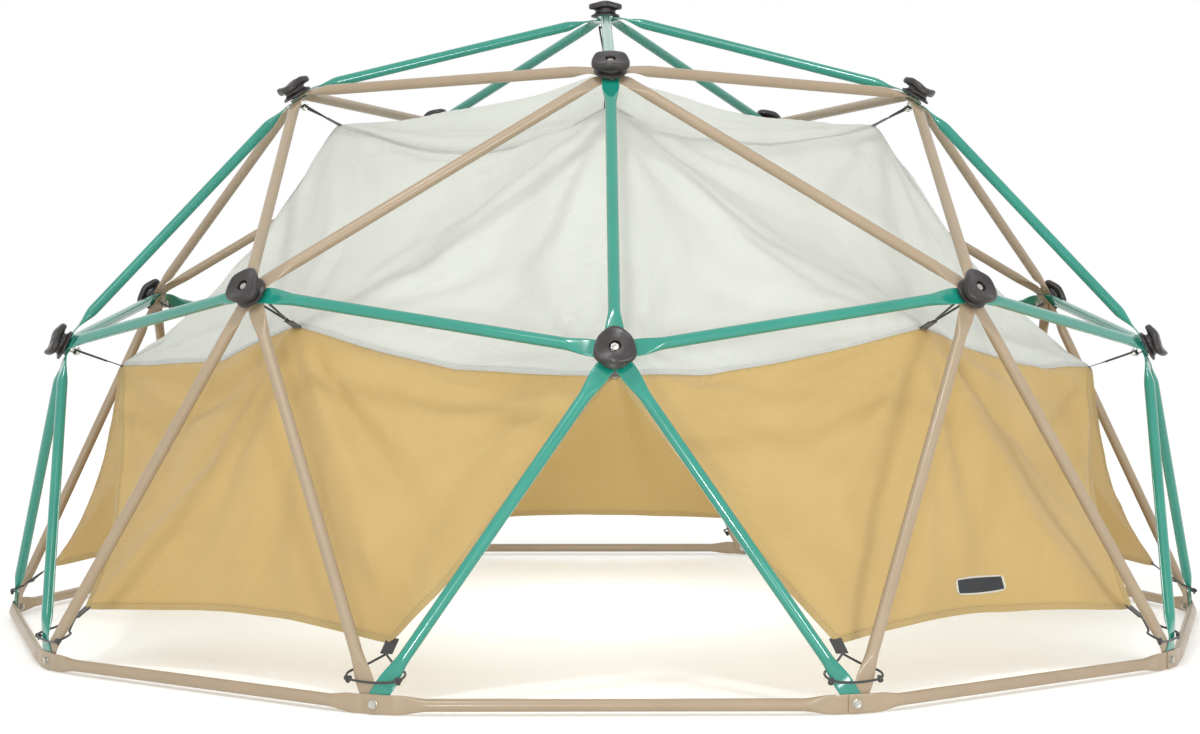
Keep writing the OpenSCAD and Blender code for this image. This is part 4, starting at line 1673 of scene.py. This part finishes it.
    def patch(self) -> bpy.types.Object:
        """Blank patch with a pale rim, sewn flat on the wall right of the front door.

        Returns:
            The patch.
        """
        a, b = self.corner(Corner.BASE, 0), self.corner(Corner.BASE, 1)
        along = unit(b - a)
        out = unit(np.cross(b - a, self.corner(Corner.HEXA, 0) - a))
        up = np.cross(out, along)
        middle = a + self.patch_along * along + self.patch_up * up
        columns, rows = self.patch_cells
        corner = self.patch_corner
        width, height = self.patch_size
        verts, uvs = [], []
        for layer in (mm(0.1), self.patch_t):
            for j in range(rows + 1):
                for i in range(columns + 1):
                    u, v = i / columns * 2 - 1, j / rows * 2 - 1
                    inset = corner * max(0.0, 1 - (1 - abs(v)) * height / 2 / corner) ** 2
                    barrel = 1 - self.patch_barrel * u * u
                    spot = u * (width / 2 - inset * abs(u) ** 6) * along + v * height / 2 * barrel * up
                    edge = self.patch_edge * max(abs(u), abs(v)) ** 12
                    domed = layer * (1.0 if layer < self.patch_t else 1 - edge)
                    verts.append(self.below(middle + spot, out, domed + mm(0.2)))
                    uvs.append((u * width / 2, v * height / 2))
        count = (columns + 1) * (rows + 1)
        faces, rim = [], []
        for j in range(rows):
            for i in range(columns):
                q = [j * (columns + 1) + i, j * (columns + 1) + i + 1,
                     (j + 1) * (columns + 1) + i + 1, (j + 1) * (columns + 1) + i]
                is_rim = i in (0, columns - 1) or j in (0, rows - 1)
                faces += [tuple(x + count for x in q), tuple(reversed(q))]
                rim += [is_rim, is_rim]
        border = (list(range(columns + 1))
                  + [j * (columns + 1) + columns for j in range(1, rows + 1)]
                  + [rows * (columns + 1) + i for i in range(columns - 1, -1, -1)]
                  + [j * (columns + 1) for j in range(rows - 1, 0, -1)])
        for i, first in enumerate(border):
            second = border[(i + 1) % len(border)]
            faces.append((first, second, second + count, first + count))
            rim.append(True)
        piece = mesh_object("sewn_blank_patch", (np.array(verts), faces), self.shelf.get(PATCH_FACE))
        piece.data.materials.append(self.shelf.get(PATCH_RIM))
        piece.data.polygons.foreach_set("material_index", [int(r) for r in rim])
        paint_uv(piece, np.array(uvs))
        sharpen(piece, CLOTH_CREASE)
        register(piece, PATCH_FACE, "blank_patch")
        return piece

    def flat_sizes(self, part: int) -> tuple[float, float, float]:
        """Sizes of a part as it is cut.

        Args:
            part: the roof, or a wall from 1.
        Returns:
            Flat width, length and area.
        """
        verts, faces = np.array(self.verts), np.array(self.faces)[np.array(self.parts) == part]
        a, b, c = (verts[faces[:, i]] for i in range(3))
        area = float(np.linalg.norm(np.cross(b - a, c - a), axis=1).sum()) / 2
        peak, crown, pent, hexa = (self.corner(kind, 0) for kind in (
            Corner.PEAK, Corner.CROWN, Corner.PENT, Corner.HEXA))
        if part == ROOF:
            span = 2 * float(np.linalg.norm(peak - crown) + np.linalg.norm(crown - pent))
            return span, span, area
        hem = (self.corner(Corner.BASE, 0) + self.corner(Corner.BASE, 1)) / 2
        return 2 * float(np.linalg.norm(pent - hexa)), float(np.linalg.norm(hexa - hem)), area

    def build(self, stitcher: Stitcher) -> None:
        """Makes the whole tent and says how each sheet was cut.

        Args:
            stitcher: lays the threads.
        """
        self.cut()
        cloth = self.whole()
        self.hang(cloth)
        settled = np.array([v.co for v in cloth.data.vertices])
        mesh = self.fine(cloth)
        roof = self.sheet("roof_sheet", mesh, ROOF, ROOF_CLOTH, ("canopy_crown", "canopy_roof"))
        walls = [self.sheet(f"wall_sheet_{k + 1}", mesh, k + 1, WALL_CLOTH, (f"canopy_wall_{k + 1}",))
                 for k in SECTORS]
        sewn = self.sew(stitcher, settled)
        patch = self.patch()
        bpy.data.objects.remove(cloth)
        for part, piece in enumerate([roof, *walls]):
            width, length, area = self.flat_sizes(part)
            log.info("%s: cut %.2f x %.2f m, %.3f square metres", piece.name, width, length, area)


# ---- ties ----


@dataclass
class Ties:
    """Webbing tabs, plastic hooks and elastic cords between the tent and the joints."""

    dome: Dome
    shelf: Shelf
    tent: Tent
    scatter: Scatter
    cord_d: float = mm(5)
    tab_w: float = mm(26)
    tab_t: float = mm(2.4)
    tab_len: float = mm(26)
    hook_len: float = mm(14)
    hook_w: float = mm(13)
    hem_overlap: float = mm(16)
    lead: float = mm(4)
    leg_gap: float = mm(0.5)
    contact: float = mm(0.3)
    eye_depth: float = mm(12.6)
    keeper_r: float = mm(12)
    bolt_r: float = mm(4.75)
    tie_down: tuple[tuple[float, float, float], ...] = (
        (36, 67, -38), (51, 62, -34), (60, 57, -20), (58, 51, -6), (46, 46, -1), (24, 43, -1), (0, 42, -1))

    def corners(self) -> list[Vec]:
        """Tent corners in the order of the capped joints."""
        rings = (Corner.CROWN, Corner.PENT, Corner.HEXA)
        keys = [(Corner.PEAK, 0), *((ring, k) for ring in rings for k in SECTORS)]
        return [self.tent.corner(*key) for key in keys]

    def eye(self, joint: Joint) -> Vec:
        """Where a cord passes round its bolt."""
        depth = joint.tubes * self.dome.pitch + self.eye_depth
        return self.dome.centre + (self.dome.radius - depth) * joint.direction

    def pulls(self) -> list[tuple[Joint, Vec, Vec]]:
        """The 26 ties, capped joints first.

        Returns:
            Joint, tent corner and direction of pull of each.
        """
        rows = []
        for joint, corner in zip(self.dome.capped(), self.corners()):
            rows.append((joint, corner, unit(self.eye(joint) - corner)))
        for j, joint in enumerate(self.dome.grounded()):
            corner = self.tent.corner(Corner.BASE, j)
            target = self.dome.centre + self.dome.radius * joint.direction + self.dome.flat_width * UP
            rows.append((joint, corner, unit(target - corner)))
        return rows

    def seats(self, rows: Sequence[tuple[Joint, Vec, Vec]]) -> list[Matrix]:
        """Seats at the tent corners with Z along the pull."""
        return [seat(j.east, unit(np.cross(pull, j.east)), pull, corner) for j, corner, pull in rows]

    def tab(self) -> bpy.types.Object:
        """Webbing folded over a hook's bar, its two ends sewn over the tent's corner.

        Returns:
            The form of one tab, with the tent's corner at the origin and the pull along Z.
        """
        half, layer, swell = self.tab_t / 2, mm(0.95), mm(0.5)
        top = self.tab_len - half
        levels = (-self.hem_overlap, -mm(4), mm(2), mm(9), mm(16), top)
        outer = [(half + swell * (z < 0), z) for z in levels]
        outer += [(half * math.cos(a), top + half * math.sin(a)) for a in np.radians((36, 72, 108, 144))]
        outer += [(-half - swell * (z < 0), z) for z in levels[::-1]]
        inner = [(y - math.copysign(layer, y) if abs(y) > layer * 0.8 else y * 0.2, min(z, top))
                 for y, z in outer]
        loop = outer + inner[::-1]
        columns = 13
        verts, uvs = [], []
        for i in range(columns):
            x = (i / (columns - 1) - 0.5) * self.tab_w
            edge = abs(x) / (self.tab_w / 2)
            for y, z in loop:
                verts.append((x, y * (1 - 0.18 * edge ** 8), z + mm(0.25) * math.sin(i * 1.9 + z * 700)))
                uvs.append((x, z))
        faces = [tuple(reversed(face)) for face in ring_faces(columns, len(loop))]
        piece = mesh_object("webbing_tab_form", (np.array(verts), faces))
        paint_uv(piece, np.array(uvs))
        return outward(piece)

    def hook(self) -> MeshData:
        """Moulded hook: a slot for the webbing and an open horn that holds the cord.

        Returns:
            Vertices and faces of one hook, its bar across X and its pull along Z.
        """
        rod, h = mm(1.5), self.hook_len
        w = self.hook_w / 2 - rod
        slot_path = [(-w, 0, rod), (0, 0, rod * 0.9), (w, 0, rod), (w, 0, h * 0.36), (mm(2), 0, h * 0.5),
                     (-mm(2), 0, h * 0.5), (-w, 0, h * 0.36), (-w, 0, rod)]
        horn_path = [(0, 0, h * 0.44), (0, -mm(0.4), h * 0.6), (mm(0.6), -mm(1.4), h * 0.78),
                     (mm(3), -mm(1), h - rod * 1.1), (mm(5), mm(0.6), h * 0.78), (mm(4.4), mm(1.6), h * 0.62)]
        slot, horn = (curved([np.array(p, float) for p in path], 5) for path in (slot_path, horn_path))
        taper = np.linspace(1.25, 0.85, len(horn)) * rod
        taper[-1] *= 0.5
        return joined(tube_mesh(slot, [rod] * len(slot)), tube_mesh(horn, taper))

    def hanger_route(self, joint: Joint, corner: Vec, pull: Vec) -> Vec:
        """Cord from its hook past the lock nut's flange, round the bolt and back.

        Args:
            joint: the capped joint.
            corner: the tent corner.
            pull: direction of the tab and hook.
        Returns:
            Points of the cord's middle.
        """
        side = joint.east
        up = np.cross(joint.direction, side)
        axes = np.array([side, up, joint.direction])
        eye = self.eye(joint)
        foot = corner + (self.tab_len + self.hook_len) * pull
        loop = self.bolt_r + self.contact + self.cord_d / 2
        leg = self.keeper_r + self.contact + self.cord_d / 2
        rise = mm(1.5)
        half = np.array([[loop + mm(3), rise, 0.0], [leg - mm(1.6), rise, -mm(0.6)], [leg, rise, -mm(4)]])
        mirror = half * np.array([-1, 1, 1])
        spread = (self.cord_d / 2 + self.leg_gap) * side
        points = [foot - spread, foot + self.lead * pull - spread]
        points += [eye + p @ axes for p in mirror[::-1]]
        points += [eye + loop * (math.cos(a) * side + math.sin(a) * up)
                   for a in np.radians(range(180, 361, 30))]
        points += [eye + p @ axes for p in half]
        points += [foot + self.lead * pull + spread, foot + spread]
        return np.array(points)

    def ground_route(self, joint: Joint, corner: Vec, pull: Vec) -> Vec:
        """Cord from a wall's bottom tab, round the outside of both rising tubes and back.

        Args:
            joint: the ground joint.
            corner: the tent corner.
            pull: direction of the tab.
        Returns:
            Points of the cord's middle.
        """
        side = joint.east
        axes = np.array([side, UP, joint.direction])
        start = self.dome.centre + self.dome.radius * joint.direction
        foot = corner + self.tab_len * pull
        spread = (self.cord_d / 2 + self.leg_gap) * side
        shape = np.array([[mm(value) for value in point] for point in self.tie_down])
        right = [start + p @ axes for p in shape]
        left = [start + p @ axes for p in shape * np.array([-1, 1, 1])]
        first = [foot - spread, foot + self.lead * pull - spread]
        last = [foot + self.lead * pull + spread, foot + spread]
        return np.array([*first, *left[:-1], *right[::-1], *last])

    def knot(self) -> MeshData:
        """Overhand knot in the elastic, drawn tight: a trefoil, with the cord squeezed a little.

        Returns:
            Vertices and faces.
        """
        t = np.linspace(0, 2 * math.pi, 60)
        size, squeezed = mm(2.21), self.cord_d * 0.47
        x, y = np.sin(t) + 2 * np.sin(2 * t), np.cos(t) - 2 * np.cos(2 * t)
        loop = np.stack([x, y, -1.1 * np.sin(3 * t)], axis=1)
        return tube_mesh(loop * size, [squeezed] * len(t), 9)

    def knot_seats(self) -> list[Matrix]:
        """Knots at both ends of the band in front of each ground joint.

        Returns:
            Their seats.
        """
        rows = []
        for joint in self.dome.grounded():
            side, out = joint.east, joint.direction
            start = self.dome.centre + self.dome.radius * out
            x_axis, z_axis = unit(side - 0.4 * out), unit(out + 0.4 * side)
            y_axis = unit(np.cross(out + 0.4 * side, side))
            for x in (-54, 52):
                place = start + mm(x) * side + mm(47) * UP - mm(4) * out
                rows.append(seat(x_axis, y_axis, z_axis, place))
        return rows

    def elastic(self) -> Tree:
        """Geometry Nodes tree that sweeps a round section along lines and lays out its UV map.

        Returns:
            The tree.
        """
        tree = Tree("elastic_cord", {
            "Diameter": "NodeSocketFloat", "Sides": "NodeSocketInt", "Finish": "NodeSocketMaterial"})
        given = tree.inputs
        line = tree.add("GeometryNodeMeshToCurve", inputs={"Mesh": given["Geometry"]})
        length = tree.add("GeometryNodeSplineParameter")
        kept = tree.add("GeometryNodeCaptureAttribute", inputs={"Geometry": line.outputs["Curve"]})
        kept.capture_items.new("FLOAT", "Along")
        tree.tree.links.new(length.outputs["Length"], kept.inputs["Along"])
        radius = tree.add("ShaderNodeMath", {"operation": "MULTIPLY"}, {0: given["Diameter"], 1: 0.5})
        ring = tree.add("GeometryNodeCurvePrimitiveCircle", inputs={
            "Resolution": given["Sides"], "Radius": radius.outputs["Value"]})
        round_it = tree.add("GeometryNodeSplineParameter")
        held = tree.add("GeometryNodeCaptureAttribute", inputs={"Geometry": ring.outputs["Curve"]})
        held.capture_items.new("FLOAT", "Round")
        tree.tree.links.new(round_it.outputs["Factor"], held.inputs["Round"])
        swept = tree.add("GeometryNodeCurveToMesh", inputs={
            "Curve": kept.outputs["Geometry"], "Profile Curve": held.outputs["Geometry"], "Fill Caps": True})
        girth = tree.add("ShaderNodeMath", {"operation": "MULTIPLY"}, {
            0: held.outputs["Round"], 1: math.pi * self.cord_d})
        flat = tree.add("ShaderNodeCombineXYZ", inputs={
            "X": girth.outputs["Value"], "Y": kept.outputs["Along"]})
        stored = tree.add("GeometryNodeStoreNamedAttribute", {"data_type": "FLOAT2", "domain": "CORNER"}, {
            "Geometry": swept.outputs["Mesh"], "Name": "UVMap", "Value": flat.outputs["Vector"]})
        smooth_it = tree.add("GeometryNodeSetShadeSmooth", inputs={"Geometry": stored.outputs["Geometry"]})
        tree.close(smooth_it.outputs["Geometry"])
        return tree

    def cords(self, tree: Tree, name: str, routes: Sequence[Vec]) -> bpy.types.Object:
        """Sweeps cords along smoothed routes.

        Args:
            tree: the sweeping tree.
            name: name of the piece.
            routes: points of each cord.
        Returns:
            One plain mesh object.
        """
        lines = path_object(f"{name}_routes", [curved(route, 5) for route in routes])
        values = {"Diameter": self.cord_d, "Sides": 12, "Finish": self.shelf.get(ELASTIC)}
        return tree.apply(name, lines, values)

    def build(self) -> None:
        """Makes all the ties."""
        rows, capped = self.pulls(), len(self.dome.capped())
        tabs = self.scatter.place("folded_webbing_tabs", self.tab(), self.seats(rows), 0.0,
                                  self.shelf.get(TAPE))
        register(tabs, TAPE, "corner_tabs")
        hooked = self.tab_len - mm(1.5)
        hooks = self.scatter.place("moulded_hooks", self.hook(), self.seats(rows[:capped]), hooked,
                                   self.shelf.get(HOOK_PLASTIC))
        register(hooks, HOOK_PLASTIC, "corner_hooks")
        tree = self.elastic()
        hangers = self.cords(tree, "elastic_hangers", [self.hanger_route(*row) for row in rows[:capped]])
        register(hangers, ELASTIC, "hanger_cords")
        downs = self.cords(tree, "elastic_tie_downs", [self.ground_route(*row) for row in rows[capped:]])
        register(downs, ELASTIC, "ground_cords")
        knots = self.scatter.place("tie_down_knots", self.knot(), self.knot_seats(), 0.0,
                                   self.shelf.get(ELASTIC))
        register(knots, ELASTIC)


def outward(piece: bpy.types.Object) -> bpy.types.Object:
    """Turns a closed mesh's faces outwards.

    Args:
        piece: the mesh object.
    Returns:
        The same object.
    """
    form = bmesh.new()
    form.from_mesh(piece.data)
    bmesh.ops.recalc_face_normals(form, faces=form.faces)
    form.to_mesh(piece.data)
    form.free()
    return piece


# ---- studio ----


@dataclass
class Studio:
    """Camera in front of the door, pale floor, white surroundings and a few soft lamps."""

    place: tuple[float, float, float] = (-0.0813, -5.7538, 0.7758)
    turn: tuple[float, float, float] = (88.666, -0.06, -0.68)
    lens: float = 66.68
    floor_size: float = 60.0
    floor_gap: float = mm(1)

    def camera(self) -> None:
        """Makes the scene's camera."""
        data = bpy.data.cameras.new("front_view")
        data.lens, data.sensor_width = self.lens, 36.0
        data.clip_end = 200.0
        camera = link(bpy.data.objects.new("front_view", data))
        camera.location = self.place
        camera.rotation_euler = [math.radians(a) for a in self.turn]
        bpy.context.scene.camera = camera

    def floor(self) -> None:
        """Pale matt floor."""
        material = bpy.data.materials.new("floor_pale_paint")
        material.use_nodes = True
        shader = material.node_tree.nodes["Principled BSDF"]
        shader.inputs["Base Color"].default_value = linear("#f2f2f0")
        shader.inputs["Roughness"].default_value = 0.8
        shader.inputs["Emission Color"].default_value = linear("#ffffff")
        shader.inputs["Emission Strength"].default_value = 0.14
        half = self.floor_size / 2
        square = np.array([[-half, -half, 0], [half, -half, 0], [half, half, 0], [-half, half, 0]])
        mesh_object("studio_floor", (square - self.floor_gap * UP, [(0, 1, 2, 3)]), material)

    def light(self, name: str, place: tuple[float, float, float], target: tuple[float, float, float],
              size: tuple[float, float], power: float) -> None:
        """Rectangular soft light that faces a point.

        Args:
            name: the lamp's name.
            place: where it stands.
            target: what it faces.
            size: its two sides.
            power: watts.
        """
        data = bpy.data.lights.new(name, "AREA")
        data.shape = "RECTANGLE"
        data.size, data.size_y = size
        data.energy = power
        lamp = link(bpy.data.objects.new(name, data))
        lamp.location = place
        lamp.rotation_euler = (Vector(target) - Vector(place)).to_track_quat("-Z", "Y").to_euler()

    def fill(self, name: str, place: tuple[float, float, float], radius: float, power: float) -> None:
        """Soft round light that lifts the shade inside the tent and isn't seen itself.

        Args:
            name: the lamp's name.
            place: where it hangs.
            radius: how soft its shadows are.
            power: watts.
        """
        data = bpy.data.lights.new(name, "POINT")
        data.shadow_soft_size = radius
        data.energy = power
        lamp = link(bpy.data.objects.new(name, data))
        lamp.location = place
        lamp.visible_camera = False

    def build(self) -> None:
        """Makes the surroundings."""
        scene = bpy.context.scene
        scene.view_settings.view_transform = "Standard"
        world = bpy.data.worlds.new("white_surroundings")
        world.use_nodes = True
        sky = world.node_tree.nodes["Background"]
        sky.inputs["Color"].default_value = linear("#ffffff")
        sky.inputs["Strength"].default_value = 1.0
        scene.world = world
        self.floor()
        self.light("upper_softbox", (-2.6, -4.6, 3.8), (0, 0, 0.7), (1.4, 1.2), 24.0)
        self.light("right_softbox", (2.7, -5.2, 1.4), (0.4, 0, 0.5), (0.8, 0.8), 60.0)
        self.light("front_lamp", (-0.7, -6.2, 0.45), (0, 0, 0.75), (0.35, 0.35), 48.0)
        self.light("top_lamp", (-0.7, -3.4, 4.8), (0, 0, 1.0), (0.4, 0.4), 52.0)
        self.fill("inner_fill", (0.0, 0.15, 0.72), 0.22, 19.0)


# ---- whole object ----


def main() -> None:
    """Builds the camera and cords first, then everything else."""
    logging.basicConfig(level=logging.INFO, format="%(message)s")
    studio = Studio()
    studio.camera()
    dome, shelf, scatter = Dome.from_frame(), Shelf(), Scatter()
    log.info("dome radius %.4f m, tube %.4f m", dome.radius, dome.tube_d)
    tent = Tent(dome, shelf)
    Ties(dome, shelf, tent, scatter).build()
    CrimpedTubes(dome, shelf).build()
    JointHardware(dome, shelf, scatter).build()
    tent.build(Stitcher())
    studio.build()
    bpy.context.view_layer.update()


if __name__ == "__main__":
    main()
